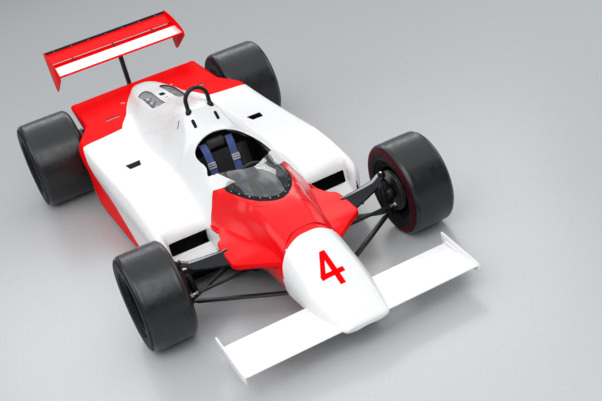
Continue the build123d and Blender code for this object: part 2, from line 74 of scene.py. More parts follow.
def flow(p, sub, corners=()):
    """Smooth curve through the points of each row, sub samples per interval, with corners kept at the given points."""
    p = np.asarray(p, float)
    single = p.ndim == 2
    if single:
        p = p[None]
    stops = [0, *sorted(corners), p.shape[1] - 1]
    pieces = []
    for a, b in zip(stops[:-1], stops[1:]):
        q = p[:, a : b + 1]
        n = q.shape[1]
        h = np.maximum(np.linalg.norm(np.diff(q, axis=1), axis=2, keepdims=True), 1e-9)
        d = np.diff(q, axis=1) / h
        m = np.zeros_like(q)
        m[:, 0], m[:, -1] = d[:, 0], d[:, -1]
        if n > 2:
            m[:, 1:-1] = (d[:, 1:] * h[:, :-1] + d[:, :-1] * h[:, 1:]) / (h[:, 1:] + h[:, :-1])
        s = np.linspace(0, 1, sub + 1)[None, None, :, None]
        s = s[:, :, :-1]
        q0, q1, m0, m1, hh = q[:, :-1, None], q[:, 1:, None], m[:, :-1, None], m[:, 1:, None], h[:, :, None]
        c = (2 * s**3 - 3 * s**2 + 1) * q0 + (s**3 - 2 * s**2 + s) * hh * m0 + (3 * s**2 - 2 * s**3) * q1 + (s**3 - s**2) * hh * m1
        pieces.append(c.reshape(p.shape[0], -1, p.shape[2]))
    pieces.append(p[:, -1:])
    out = np.concatenate(pieces, axis=1)
    return out[0] if single else out


def stations(a, b, step, extra=()):
    """Row positions from a to b about a step apart, with the extra ones put in."""
    n = max(2, int(round(abs(b - a) / step)) + 1)
    lo, hi = min(a, b), max(a, b)
    return np.unique(np.round(np.concatenate([np.linspace(lo, hi, n), [e for e in extra if lo <= e <= hi]]), 6))


def both_sides(half):
    """Rows of half sections (y, z), centre first, made full width from right to left."""
    left = half[:, 1:].copy()
    right = half[:, :0:-1].copy()
    right[..., 0] *= -1
    return np.concatenate([right, half[:, :1], left], axis=1)


def at_x(rows, xs):
    """Rows of (y, z) put at their x."""
    x = np.broadcast_to(np.asarray(xs, float)[:, None, None], rows.shape[:2] + (1,))
    return np.concatenate([x, rows], axis=2)


class Surface:
    """Height of a body surface whose rows stand at constant x."""

    def __init__(self, p):
        order = np.argsort(p[:, 0, 0])
        self.p = p[order]
        self.x = self.p[:, 0, 0]

    def z(self, x, y):
        i = int(np.clip(np.searchsorted(self.x, x) - 1, 0, len(self.x) - 2))
        f = min(1.0, max(0.0, (x - self.x[i]) / max(1e-9, self.x[i + 1] - self.x[i])))
        out = []
        for r in (self.p[i], self.p[i + 1]):
            q = r[np.argsort(r[:, 1], kind="stable")]
            out.append(np.interp(y, q[:, 1], q[:, 2]))
        return float(out[0] * (1 - f) + out[1] * f)

    def point(self, x, y, lift=0.0):
        e = 0.004
        n = np.array([-(self.z(x + e, y) - self.z(x - e, y)) / (2 * e), -(self.z(x, y + e) - self.z(x, y - e)) / (2 * e), 1.0])
        n /= np.linalg.norm(n)
        return np.array([x, y, self.z(x, y)]) + n * lift, n


# ------------------------------------------------------------------ mesh tools


class Kit:
    """Gathers closed bits of mesh, each face with a material number."""

    def __init__(self):
        self.v, self.f, self.m, self.n = [], [], [], 0

    def add(self, v, f, m=0, over=None):
        v = np.asarray(v, float).reshape(-1, 3)
        m = m if over is None else over
        self.v.append(v)
        self.f += [tuple(int(i) + self.n for i in q) for q in f]
        self.m += [m] * len(f) if np.isscalar(m) else [int(k) for k in m]
        self.n += len(v)
        return self

    def mirror(self):
        """Adds the same again on the other side of the car."""
        v = np.concatenate(self.v)
        w = v * np.array([1, -1, 1])
        f, m = list(self.f), list(self.m)
        n = self.n
        self.v.append(w)
        self.f += [tuple(i + n for i in reversed(q)) for q in f]
        self.m += m
        self.n += len(w)
        return self

    def flipped(self):
        """Moves everything to the other side of the car."""
        self.v = [v * np.array([1, -1, 1]) for v in self.v]
        self.f = [tuple(reversed(q)) for q in self.f]
        return self

    def obj(self, name, mats, angle=35.0, bevel=None, segments=2):
        me = bpy.data.meshes.new(name)
        me.from_pydata(np.concatenate(self.v).tolist(), [], self.f)
        for k in mats:
            me.materials.append(k)
        me.polygons.foreach_set("material_index", np.array(self.m, np.int32))
        bm = bmesh.new()
        bm.from_mesh(me)
        bmesh.ops.remove_doubles(bm, verts=bm.verts, dist=1e-6)
        bmesh.ops.recalc_face_normals(bm, faces=bm.faces)
        bm.to_mesh(me)
        bm.free()
        o = bpy.data.objects.new(name, me)
        scene.collection.objects.link(o)
        if bevel:
            mod = o.modifiers.new("edge", "BEVEL")
            mod.width, mod.segments, mod.limit_method, mod.angle_limit = bevel, segments, "ANGLE", math.radians(30)
            bake(o)
        smooth(o, angle)
        return o


def smooth(o, angle=35.0):
    o.data.shade_smooth()
    o.data.set_sharp_from_angle(angle=math.radians(angle))


def bake(o):
    """Puts the modifiers' result in the mesh."""
    dg = bpy.context.evaluated_depsgraph_get()
    dg.update()
    me = bpy.data.meshes.new_from_object(o.evaluated_get(dg), preserve_all_data_layers=True, depsgraph=dg)
    old = o.data
    o.modifiers.clear()
    o.data = me
    me.name = old.name
    bpy.data.meshes.remove(old)


def drop(o):
    me = o.data
    bpy.data.objects.remove(o)
    bpy.data.meshes.remove(me)


def carve(o, cutters, angle=35.0, operation="DIFFERENCE"):
    """Cuts closed tools out of a closed piece."""
    for c in cutters:
        mod = o.modifiers.new("cut", "BOOLEAN")
        mod.operation, mod.solver, mod.object = operation, "EXACT", c
    bake(o)
    for c in cutters:
        drop(c)
    bm = bmesh.new()
    bm.from_mesh(o.data)
    bmesh.ops.remove_doubles(bm, verts=bm.verts, dist=1e-5)
    bmesh.ops.dissolve_degenerate(bm, edges=bm.edges, dist=1e-5)
    bm.to_mesh(o.data)
    bm.free()
    smooth(o, angle)
    return o


def quads(idx, wrap=False):
    r, c = idx.shape
    out = []
    for i in range(r - 1):
        for j in range(c if wrap else c - 1):
            k = (j + 1) % c
            out.append((idx[i, j], idx[i + 1, j], idx[i + 1, k], idx[i, k]))
    return out


def skin(p, t, centre_z=0.25, wrap=False, centre_y=0.0):
    """Closed panel of thickness t behind the surface p; outside faces are material 0, inside ones 1."""
    p = np.asarray(p, float)
    r, c, _ = p.shape
    du = np.gradient(p, axis=0)
    dv = (np.roll(p, -1, 1) - np.roll(p, 1, 1)) if wrap else np.gradient(p, axis=1)
    nrm = np.cross(du, dv)
    nrm /= np.maximum(np.linalg.norm(nrm, axis=2, keepdims=True), 1e-12)
    out = p - np.array([0, centre_y, centre_z])
    out[..., 0] = 0
    if (nrm * out).sum() < 0:
        nrm = -nrm
    q = p - nrm * t
    idx = np.arange(r * c).reshape(r, c)
    f = quads(idx, wrap)
    n_out = len(f)
    f += [tuple(reversed(k)) for k in quads(idx + r * c, wrap)]
    m = [0] * n_out + [1] * n_out
    edge = []
    cols = range(c if wrap else c - 1)
    for j in cols:
        k = (j + 1) % c
        edge += [(idx[0, j], idx[0, k], idx[0, k] + r * c, idx[0, j] + r * c), (idx[-1, k], idx[-1, j], idx[-1, j] + r * c, idx[-1, k] + r * c)]
    if not wrap:
        for i in range(r - 1):
            edge += [(idx[i + 1, 0], idx[i, 0], idx[i, 0] + r * c, idx[i + 1, 0] + r * c), (idx[i, -1], idx[i + 1, -1], idx[i + 1, -1] + r * c, idx[i, -1] + r * c)]
    f += edge
    m += [0] * len(edge)
    return np.concatenate([p.reshape(-1, 3), q.reshape(-1, 3)]), f, m


def loft(p, caps=True):
    """Closed body from rings p (rows, points, 3)."""
    p = np.asarray(p, float)
    r, c, _ = p.shape
    idx = np.arange(r * c).reshape(r, c)
    f = quads(idx, True)
    if caps:
        f += [tuple(idx[0]), tuple(reversed(idx[-1]))]
    return p.reshape(-1, 3), f


def prism(outline, axis, a, b):
    """Closed prism from a flat outline, pushed along axis 0, 1 or 2 from a to b."""
    o = np.asarray(outline, float)
    lo, hi = np.insert(o, axis, a, axis=1), np.insert(o, axis, b, axis=1)
    return loft(np.stack([lo, hi]))


def box(x0, x1, y0, y1, z0, z1):
    return prism([(x0, y0), (x1, y0), (x1, y1), (x0, y1)], 2, z0, z1)


def frames(path, up=None):
    """Tangent and two side vectors along a path, carried without twist."""
    p = np.asarray(path, float)
    t = np.gradient(p, axis=0)
    t /= np.maximum(np.linalg.norm(t, axis=1, keepdims=True), 1e-12)
    a = np.zeros_like(p)
    if up is None:
        ref = np.array([0, 0, 1.0]) if abs(t[0, 2]) < 0.9 else np.array([1.0, 0, 0])
    else:
        ref = np.asarray(up, float)
    for i in range(len(p)):
        v = ref if up is not None else (ref if i == 0 else a[i - 1])
        v = v - t[i] * (v @ t[i])
        a[i] = v / max(np.linalg.norm(v), 1e-12)
    return p, t, a, np.cross(t, a)


def tube(path, r, seg=16, up=None, squash=(1.0, 1.0), closed=False):
    """Round or oval bar along a path; r may change along it."""
    p, t, a, b = frames(path, up)
    r = np.broadcast_to(np.asarray(r, float), (len(p),))
    ang = np.linspace(0, 2 * math.pi, seg, endpoint=False)
    ring = p[:, None] + r[:, None, None] * (np.cos(ang)[None, :, None] * a[:, None] * squash[0] + np.sin(ang)[None, :, None] * b[:, None] * squash[1])
    return loft(ring)


def hoop_tube(path, r, seg=14):
    """Round bar along a closed path."""
    p = np.asarray(path, float)
    t = np.roll(p, -1, 0) - np.roll(p, 1, 0)
    t /= np.linalg.norm(t, axis=1, keepdims=True)
    nrm = np.cross(t[0], t[len(t) // 4])
    nrm /= np.linalg.norm(nrm)
    b = np.cross(t, nrm)
    ang = np.linspace(0, 2 * math.pi, seg, endpoint=False)
    ring = p[:, None] + r * (np.cos(ang)[None, :, None] * nrm[None, None] + np.sin(ang)[None, :, None] * b[:, None])
    ring = np.concatenate([ring, ring[:1]])
    n, c, _ = ring.shape
    idx = np.arange((n - 1) * c).reshape(n - 1, c)
    idx = np.concatenate([idx, idx[:1]])
    return ring[:-1].reshape(-1, 3), quads(idx, True)


def turn(profile, centre, axis=(0, 1, 0), seg=64, closed=True, mats=None):
    """Turned body from an outline of (along, radius) about an axis through centre."""
    prof = np.asarray(profile, float)
    ax = np.asarray(axis, float)
    ax /= np.linalg.norm(ax)
    ref = np.array([0, 0, 1.0]) if abs(ax[2]) < 0.9 else np.array([1.0, 0, 0])
    e1 = ref - ax * (ref @ ax)
    e1 /= np.linalg.norm(e1)
    e2 = np.cross(ax, e1)
    ang = np.linspace(0, 2 * math.pi, seg, endpoint=False)
    dirs = np.cos(ang)[:, None] * e1 + np.sin(ang)[:, None] * e2
    p = np.asarray(centre, float) + prof[None, :, :1] * ax + prof[None, :, 1:] * dirs[:, None]
    n, c = seg, len(prof)
    f, m = [], []
    last = c if closed else c - 1
    for j in range(last):
        k = (j + 1) % c
        if prof[j, 1] < 1e-7 and prof[k, 1] < 1e-7:
            continue
        for i in range(n):
            h = (i + 1) % n
            f.append((i * c + j, h * c + j, h * c + k, i * c + k))
            m.append(mats[j] if mats else 0)
    return p.reshape(-1, 3), f, m


def domes(points, normals, r, h, seg=8):
    """Small round heads on a surface."""
    v, f = [], []
    for p, nrm in zip(points, normals):
        nrm = np.asarray(nrm, float) / np.linalg.norm(nrm)
        base = np.asarray(p, float) - nrm * 0.0008
        vv, ff, _ = turn([(0, 0), (0, r), (h * 0.45, r), (h * 0.85, r * 0.7), (h, 0)], base, nrm, seg, closed=False)
        ff = [q for q in ff]
        n = sum(len(k) for k in v)
        v.append(vv)
        f += [tuple(i + n for i in q) for q in ff]
    return np.concatenate(v), f


def hexes(points, normals, r, h):
    """Hexagon bolt heads."""
    return domes(points, normals, r, h, seg=6)


def rounded(points, r, n=5):
    """Flat outline with its corners rounded."""
    p = np.asarray(points, float)
    out = []
    for i in range(len(p)):
        a, b, c = p[i - 1], p[i], p[(i + 1) % len(p)]
        u, w = a - b, c - b
        lu, lw = np.linalg.norm(u), np.linalg.norm(w)
        k = min(r, 0.45 * lu, 0.45 * lw)
        s, e = b + u / lu * k, b + w / lw * k
        for t in np.linspace(0, 1, n):
            out.append((1 - t) ** 2 * s + 2 * t * (1 - t) * b + t**2 * e)
    return np.array(out)


def capsule(a, b, r, n=8):
    """Flat outline of a slot from a to b."""
    a, b = np.asarray(a, float), np.asarray(b, float)
    t = math.atan2(b[1] - a[1], b[0] - a[0])
    out = [b + r * np.array([math.cos(t + s), math.sin(t + s)]) for s in np.linspace(-math.pi / 2, math.pi / 2, n)]
    out += [a + r * np.array([math.cos(t + s), math.sin(t + s)]) for s in np.linspace(math.pi / 2, 3 * math.pi / 2, n)]
    return np.array(out)


def tool(v, f):
    """A cutter, removed again after use."""
    k = Kit()
    k.add(v, f, 1)
    return k.obj("tool", [INSIDE, INSIDE])


def plan_tool(outline, z0, z1):
    return tool(*prism(outline, 2, z0, z1))


def face_tool(outline, origin, u, w, depth):
    """Cutter with a flat outline in the plane of u and w at origin, reaching depth to both sides."""
    o, u, w = (np.asarray(k, float) for k in (origin, u, w))
    u = u / np.linalg.norm(u)
    w = w - u * (w @ u)
    w /= np.linalg.norm(w)
    n = np.cross(u, w)
    pts = o + np.asarray(outline, float) @ np.stack([u, w])
    return tool(*loft(np.stack([pts - n * depth, pts + n * depth])))


def piece(o, body, slot, *replaced):
    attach(o, body)
    if replaced:
        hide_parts(*replaced)
    return o


# ------------------------------------------------------------------ materials


class Look:
    """A node material around one Principled shader."""

    def __init__(self, name, **fixed):
        self.mat = bpy.data.materials.new(name)
        self.mat.use_nodes = True
        self.t = self.mat.node_tree
        self.b = self.t.nodes["Principled BSDF"]
        for k, v in fixed.items():
            self.b.inputs[k.replace("_", " ")].default_value = (*v, 1.0) if isinstance(v, tuple) else v
        self.coords = self.t.nodes.new("ShaderNodeTexCoord").outputs["Object"]

    def new(self, kind, **values):
        n = self.t.nodes.new("ShaderNode" + kind)
        for k, v in values.items():
            n.inputs[k].default_value = v
        return n

    def stretched(self, scale):
        n = self.new("Mapping")
        n.inputs["Scale"].default_value = scale
        self.t.links.new(self.coords, n.inputs["Vector"])
        return n.outputs["Vector"]

    def noise(self, scale, detail=3.0, rough=0.5, stretch=None):
        n = self.new("TexNoise", Scale=scale, Detail=detail, Roughness=rough)
        self.t.links.new(self.stretched(stretch) if stretch else self.coords, n.inputs["Vector"])
        return n.outputs["Fac"]

    def waves(self, scale, kind="BANDS", direction="X", distortion=0.0, stretch=None):
        n = self.new("TexWave", Scale=scale, Distortion=distortion)
        n.wave_type = kind
        if kind == "BANDS":
            n.bands_direction = direction
        self.t.links.new(self.stretched(stretch) if stretch else self.coords, n.inputs["Vector"])
        return n.outputs["Fac"]

    def cells(self, scale):
        n = self.new("TexVoronoi", Scale=scale)
        self.t.links.new(self.coords, n.inputs["Vector"])
        return n.outputs["Distance"]

    def ramp(self, fac, stops):
        n = self.new("ValToRGB")
        e = n.color_ramp.elements
        while len(e) < len(stops):
            e.new(0.5)
        for k, (pos, col) in zip(e, stops):
            k.position, k.color = pos, (*col, 1.0)
        self.t.links.new(fac, n.inputs["Fac"])
        return n.outputs["Color"]

    def span(self, fac, lo, hi, a=0.3, b=0.7):
        n = self.new("MapRange")
        for k, v in (("From Min", a), ("From Max", b), ("To Min", lo), ("To Max", hi)):
            n.inputs[k].default_value = v
        self.t.links.new(fac, n.inputs["Value"])
        return n.outputs["Result"]

    def times(self, a, b):
        n = self.t.nodes.new("ShaderNodeMath")
        n.operation = "MULTIPLY"
        self.t.links.new(a, n.inputs[0])
        self.t.links.new(b, n.inputs[1])
        return n.outputs[0]

    def colour(self, out):
        self.t.links.new(out, self.b.inputs["Base Color"])
        return self

    def roughness(self, out):
        self.t.links.new(out, self.b.inputs["Roughness"])
        return self

    def bump(self, out, strength, distance):
        n = self.new("Bump", Strength=strength, Distance=distance)
        self.t.links.new(out, n.inputs["Height"])
        self.t.links.new(n.outputs["Normal"], self.b.inputs["Normal"])
        return self


def paint(name, dark, light, rough, coat, spec):
    k = Look(name, Coat_Weight=coat, Coat_Roughness=0.08, Specular_IOR_Level=spec)
    k.colour(k.ramp(k.noise(2.2, 4.0), [(0.3, dark), (0.7, light)]))
    k.roughness(k.span(k.noise(60.0, 3.0, 0.5), rough - 0.01, rough + 0.02))
    return k.mat


WHITE = paint("white_gloss_paint", (0.805, 0.81, 0.815), (0.815, 0.82, 0.825), 0.28, 0.25, 0.35)
RED = paint("red_satin_paint", (0.84, 0.0006, 0.0020), (0.87, 0.0008, 0.0025), 0.38, 0.0, 0.02)
RED_GLOSS = paint("red_gloss_paint", (0.80, 0.0010, 0.0040), (0.84, 0.0016, 0.0060), 0.24, 0.09, 0.32)
RED_FAIRING = paint("red_fairing_paint", (0.82, 0.0008, 0.0030), (0.86, 0.0012, 0.0045), 0.30, 0.0, 0.12)


def black_satin(name, c, rough, metal=0.0, spec=0.45):
    k = Look(name, Metallic=metal, Specular_IOR_Level=spec)
    k.colour(k.ramp(k.noise(26.0, 5.0, 0.6), [(0.32, tuple(x * 0.7 for x in c)), (0.7, tuple(x * 1.35 for x in c))]))
    k.roughness(k.span(k.noise(60.0, 5.0, 0.65), rough - 0.08, rough + 0.1))
    k.bump(k.noise(700.0, 2.0), 0.06, 0.0005)
    return k.mat


BLACK = black_satin("black_satin_paint", (0.0065, 0.0068, 0.0074), 0.36, spec=0.35)
INSIDE = black_satin("black_composite", (0.0045, 0.0045, 0.005), 0.58, spec=0.2)
WHEEL_BLACK = black_satin("wheel_black", (0.0035, 0.0037, 0.0040), 0.42, spec=0.06)


def weave_black(name):
    k = Look(name, Specular_IOR_Level=0.5, Coat_Weight=0.25, Coat_Roughness=0.15)
    a = k.waves(130.0, direction="X")
    b = k.waves(130.0, direction="Y")
    mix = k.times(a, b)
    k.colour(k.ramp(mix, [(0.05, (0.006, 0.006, 0.0065)), (0.6, (0.022, 0.022, 0.024))]))
    k.roughness(k.span(k.noise(30.0, 4.0), 0.34, 0.5))
    k.bump(mix, 0.15, 0.0008)
    return k.mat


FLOOR_BLACK = weave_black("floor_composite")


def metal(name, c, rough, stretch=(1, 1, 1), scale=70.0):
    k = Look(name, Metallic=1.0)
    k.colour(k.ramp(k.noise(18.0, 5.0, 0.6), [(0.3, tuple(x * 0.86 for x in c)), (0.72, c)]))
    k.roughness(k.span(k.noise(scale, 4.0, 0.6, stretch), rough - 0.07, rough + 0.09))
    k.bump(k.noise(scale * 6, 3.0, 0.6, stretch), 0.05, 0.0004)
    return k.mat


ALLOY = metal("machined_alloy", (0.74, 0.75, 0.77), 0.24, (1, 12, 1))
# light steel used only on the narrow top strip of the rocker arms, a painted highlight
STRIP_STEEL_PAINTED_HIGHLIGHT = metal("plated_steel", (0.46, 0.47, 0.49), 0.26, (6, 1, 6))
STEEL = metal("bright_steel", (0.60, 0.60, 0.62), 0.30)
CAST = metal("cast_magnesium", (0.30, 0.30, 0.31), 0.52, (1, 1, 1), 160.0)
GUNMETAL = metal("dark_plated_steel", (0.036, 0.037, 0.040), 0.46, (6, 1, 6))


def disc_iron():
    k = Look("disc_iron", Metallic=1.0)
    rings = k.noise(8.0, 6.0, 0.7)
    k.colour(k.ramp(rings, [(0.3, (0.16, 0.155, 0.15)), (0.7, (0.30, 0.295, 0.29))]))
    k.roughness(k.span(k.noise(140.0, 3.0), 0.30, 0.46))
    k.bump(k.noise(300.0, 4.0), 0.08, 0.0005)
    return k.mat


DISC = disc_iron()


def rubber(name, dark, light, low, high, spec=0.42, ior=1.5, sheen=0.0):
    k = Look(name, Specular_IOR_Level=spec, IOR=ior, Sheen_Weight=sheen, Sheen_Roughness=0.30, Sheen_Tint=(0.80, 0.90, 1.0))
    broad = k.noise(7.0, 6.0, 0.62)
    k.colour(k.ramp(broad, [(0.28, dark), (0.5, tuple((a + b) / 2 for a, b in zip(dark, light))), (0.76, light)]))
    k.roughness(k.span(k.noise(20.0, 6.0, 0.7), low, high))
    k.bump(k.noise(240.0, 5.0, 0.7), 0.14, 0.001)
    return k.mat


TREAD = rubber("tyre_tread", (0.0014, 0.0022, 0.0031), (0.0042, 0.0062, 0.0084), 0.20, 0.44, 0.62, 1.5, 0.20)
SIDEWALL = rubber("tyre_sidewall", (0.0040, 0.0044, 0.0050), (0.0090, 0.0098, 0.0110), 0.44, 0.56, 0.12)
# dark red band on the inboard sidewall of the front tyres: a painted reflection of the red bodywork
RED_REFLECTION_RING = rubber("tyre_painted_red_reflection", (0.060, 0.0012, 0.006), (0.105, 0.002, 0.010), 0.42, 0.56, 0.04)
GASKET = rubber("rubber_seal", (0.006, 0.006, 0.0065), (0.012, 0.012, 0.013), 0.5, 0.65)


def webbing():
    k = Look("belt_webbing", Specular_IOR_Level=0.3, Sheen_Weight=0.25)
    a = k.waves(240.0, direction="Y")
    b = k.waves(300.0, direction="Z")
    mix = k.times(a, b)
    k.colour(k.ramp(mix, [(0.0, (0.055, 0.085, 0.26)), (0.8, (0.12, 0.165, 0.42))]))
    k.roughness(k.span(k.noise(60.0), 0.6, 0.8))
    k.bump(mix, 0.4, 0.0008)
    return k.mat


WEB = webbing()


def vinyl(name, dark, light):
    k = Look(name, Specular_IOR_Level=0.35)
    k.colour(k.ramp(k.noise(16.0, 5.0), [(0.3, dark), (0.7, light)]))
    grain = k.cells(420.0)
    k.roughness(k.span(k.noise(45.0, 4.0), 0.46, 0.64))
    k.bump(grain, 0.35, 0.0008)
    return k.mat


PAD = vinyl("pad_vinyl", (0.030, 0.029, 0.026), (0.055, 0.053, 0.048))
SEAT_BLACK = vinyl("seat_cover", (0.008, 0.008, 0.009), (0.018, 0.018, 0.019))
GRIP = vinyl("grip_suede", (0.010, 0.010, 0.011), (0.022, 0.021, 0.021))


def clear_screen():
    k = Look("screen_acrylic", Alpha=0.32, Specular_IOR_Level=1.0, IOR=1.9, Coat_Weight=1.0, Coat_Roughness=0.02)
    # the light grey streaks in the base colour are painted reflections of the lamps on the dark screen
    k.colour(k.ramp(k.noise(4.5, 2.0, 0.5, (1.0, 2.2, 1.0)), [(0.44, (0.025, 0.027, 0.029)), (0.62, (0.40, 0.41, 0.42))]))
    k.roughness(k.span(k.noise(6.0, 5.0), 0.03, 0.09))
    k.bump(k.noise(5.0, 2.0), 0.03, 0.004)
    return k.mat


SCREEN = clear_screen()


def radiator_look():
    k = Look("radiator_core", Metallic=0.6)
    f = k.waves(95.0, direction="Z")
    k.colour(k.ramp(f, [(0.2, (0.004, 0.004, 0.005)), (0.9, (0.04, 0.04, 0.042))]))
    k.roughness(k.span(k.noise(40.0), 0.5, 0.7))
    k.bump(f, 0.5, 0.002)
    return k.mat


CORE = radiator_look()
MESH_WIRE = metal("mesh_wire", (0.34, 0.34, 0.35), 0.45)
HEAD = metal("fastener_heads", (0.70, 0.70, 0.71), 0.30)
SEAM = black_satin("panel_gap", (0.020, 0.012, 0.012), 0.6)

# ------------------------------------------------------------------ upper body tables
# Half sections of the hump and cockpit surround at x: (y, z) from the centre out to the foot of the hump side.
HUMP = {
    -1.575: [(0, 0.616), (0.012, 0.6158), (0.02, 0.6152), (0.027, 0.6146), (0.033, 0.614), (0.038, 0.6135), (0.042, 0.613), (0.10, 0.613)],
    -1.50: [(0, 0.660), (0.034, 0.658), (0.058, 0.648), (0.072, 0.634), (0.080, 0.621), (0.088, 0.615), (0.096, 0.612), (0.18, 0.612)],
    -1.30: [(0, 0.704), (0.066, 0.702), (0.104, 0.686), (0.133, 0.656), (0.152, 0.630), (0.169, 0.617), (0.185, 0.610), (0.28, 0.609)],
    -1.05: [(0, 0.724), (0.095, 0.720), (0.142, 0.699), (0.182, 0.652), (0.216, 0.620), (0.244, 0.608), (0.272, 0.603), (0.37, 0.596)],
    -0.90: [(0, 0.739), (0.100, 0.736), (0.152, 0.712), (0.200, 0.650), (0.240, 0.606), (0.288, 0.586), (0.355, 0.572), (0.50, 0.560)],
    -0.712: [(0, 0.743), (0.100, 0.739), (0.150, 0.713), (0.205, 0.640), (0.252, 0.585), (0.306, 0.557), (0.370, 0.547), (0.50, 0.540)],
    -0.30: [(0, 0.812), (0.085, 0.810), (0.130, 0.783), (0.190, 0.680), (0.250, 0.590), (0.308, 0.543), (0.370, 0.527), (0.50, 0.524)],
    0.03: [(0, 0.880), (0.070, 0.878), (0.110, 0.858), (0.172, 0.738), (0.232, 0.622), (0.298, 0.541), (0.362, 0.522), (0.50, 0.520)],
    0.105: [(0, 0.876), (0.068, 0.873), (0.108, 0.852), (0.170, 0.734), (0.231, 0.620), (0.298, 0.540), (0.362, 0.521), (0.50, 0.520)],
    0.165: [(0, 0.815), (0.074, 0.808), (0.124, 0.784), (0.188, 0.695), (0.246, 0.605), (0.304, 0.538), (0.362, 0.520), (0.50, 0.5195)],
    0.230: [(0, 0.748), (0.080, 0.739), (0.150, 0.708), (0.210, 0.652), (0.262, 0.590), (0.312, 0.535), (0.362, 0.519), (0.50, 0.519)],
    0.30: [(0, 0.746), (0.090, 0.733), (0.166, 0.699), (0.221, 0.646), (0.269, 0.585), (0.315, 0.531), (0.362, 0.5165), (0.50, 0.519)],
    0.36: [(0, 0.744), (0.100, 0.728), (0.180, 0.691), (0.230, 0.641), (0.275, 0.580), (0.318, 0.526), (0.365, 0.511), (0.50, 0.513)],
    0.45: [(0, 0.740), (0.120, 0.721), (0.200, 0.681), (0.245, 0.630), (0.285, 0.570), (0.325, 0.511), (0.370, 0.491), (0.50, 0.493)],
    0.62: [(0, 0.730), (0.120, 0.711), (0.2145, 0.670), (0.255, 0.611), (0.295, 0.545), (0.335, 0.480), (0.375, 0.455), (0.50, 0.458)],
    0.70: [(0, 0.690), (0.120, 0.676), (0.210, 0.646), (0.253, 0.600), (0.298, 0.530), (0.340, 0.460), (0.372, 0.432), (0.50, 0.438)],
    0.75: [(0, 0.665), (0.120, 0.650), (0.208, 0.622), (0.251, 0.590), (0.300, 0.512), (0.345, 0.440), (0.370, 0.415), (0.50, 0.424)],
    0.80: [(0, 0.640), (0.120, 0.622), (0.209, 0.600), (0.250, 0.579), (0.300, 0.500), (0.343, 0.424), (0.362, 0.372), (0.50, 0.36)],
    0.90: [(0, 0.630), (0.115, 0.618), (0.203, 0.596), (0.240, 0.566), (0.287, 0.492), (0.328, 0.426), (0.350, 0.370), (0.50, 0.36)],
}
HUMP_X = np.array(sorted(HUMP))
HUMP_T = np.array([HUMP[x] for x in HUMP_X], float)


def hump_surface(x0, x1, step=0.012, sub=9):
    xs = stations(x0, x1, step)
    rows = through_rows(HUMP_X, HUMP_T, xs)
    half = flow(both_sides(rows), sub)
    cut = sub  # the last column only shapes the foot
    return at_x(half[:, cut:-cut], xs)


hump_whole = Surface(hump_surface(-1.575, 0.90, 0.02, 6))

# ------------------------------------------------------------------ cockpit surround
# opening in plan, rear to front, half width
OPENING = [(0.265, 0.0), (0.271, 0.055), (0.282, 0.100), (0.302, 0.148), (0.335, 0.181), (0.38, 0.199), (0.44, 0.208), (0.52, 0.212), (0.59, 0.2125), (0.63, 0.217), (0.665, 0.232), (0.69, 0.225), (0.715, 0.200), (0.735, 0.184), (0.78, 0.180), (0.83, 0.184), (0.856, 0.188)]
smooth_open = flow(np.array(OPENING), 4)
opening_full = np.concatenate([smooth_open, [(0.97, 0.10), (0.99, 0.0)], [(0.97, -0.10)], smooth_open[:0:-1] * np.array([1, -1])])
# edge between the white surround and the red panel, from the body side to the foot of the tongue
SPLIT = [(0.785, 0.252), (0.815, 0.232), (0.842, 0.203), (0.858, 0.186)]

k = Kit()
k.add(*skin(hump_surface(0.061, 0.90), 0.007))
surround = k.obj("cockpit_surround_panel", [WHITE, INSIDE])
slots = [(capsule((-0.0215, 0), (0.0215, 0), 0.0118), (0.166, s * 0.084)) for s in (1, -1)]
cutters = [plan_tool(opening_full, 0.3, 1.1)]
for side in (1, -1):
    cutters.append(plan_tool(np.array([(0.872, 0.6), (0.853, 0.345), *SPLIT, (1.1, 0.02), (1.1, 0.6)]) * np.array([1, side]), 0.2, 1.1))
for outline, (sx, sy) in slots:
    p, n = hump_whole.point(sx, sy)
    ahead = hump_whole.point(sx + 0.02, sy)[0] - p
    cutters.append(face_tool(outline, p, ahead, np.cross(n, ahead), 0.03))
carve(surround, cutters)
piece(surround, "chassis", "white_paint", "cockpit_surround")

# rolled edge of the opening
k = Kit()
edge = []
for x, y in smooth_open[:-1]:
    edge.append((x, y, hump_whole.z(x, y) - 0.004))
edge = np.array(edge)
edge = np.concatenate([edge[::-1] * np.array([1, -1, 1]), edge[1:]])
k.add(*tube(edge, 0.0055, 10), 0)
rim_seal = k.obj("cockpit_edge_roll", [WHITE])
piece(rim_seal, "chassis", "white_paint")

# tongue of the surround that laps the outside of the screen on each side
UP = [(0.715, 0.200, 0.640), (0.735, 0.184, 0.654), (0.79, 0.172, 0.657), (0.85, 0.161, 0.656), (0.90, 0.150, 0.653), (0.944, 0.139, 0.650)]
LOW = [(0.715, 0.245, 0.607), (0.76, 0.250, 0.590), (0.785, 0.250, 0.581), (0.815, 0.232, 0.590), (0.842, 0.205, 0.598), (0.89, 0.178, 0.620), (0.925, 0.153, 0.640), (0.944, 0.139, 0.650)]


def even(points, n):
    """The same line with n evenly spread points."""
    q = flow(np.array(points), 6)
    d = np.concatenate([[0], np.cumsum(np.linalg.norm(np.diff(q, axis=0), axis=1))])
    t = np.linspace(0, d[-1], n)
    return np.stack([np.interp(t, d, q[:, j]) for j in range(3)], axis=1)


up_line, low_line = even(UP, 28), even(LOW, 28)
up_line[-1] = up_line[-1] + np.array([-0.002, 0.0, 0.002])
lap = np.array([low_line * (1 - t) + up_line * t + np.array([0, 0.0024, 0.0024]) for t in np.linspace(0, 1, 8)])
k = Kit()
k.add(*skin(lap, 0.0025, centre_z=0.40))
k.mirror()
tongues = k.obj("surround_tongue_pair", [WHITE, INSIDE], angle=50)
piece(tongues, "chassis", "white_paint")

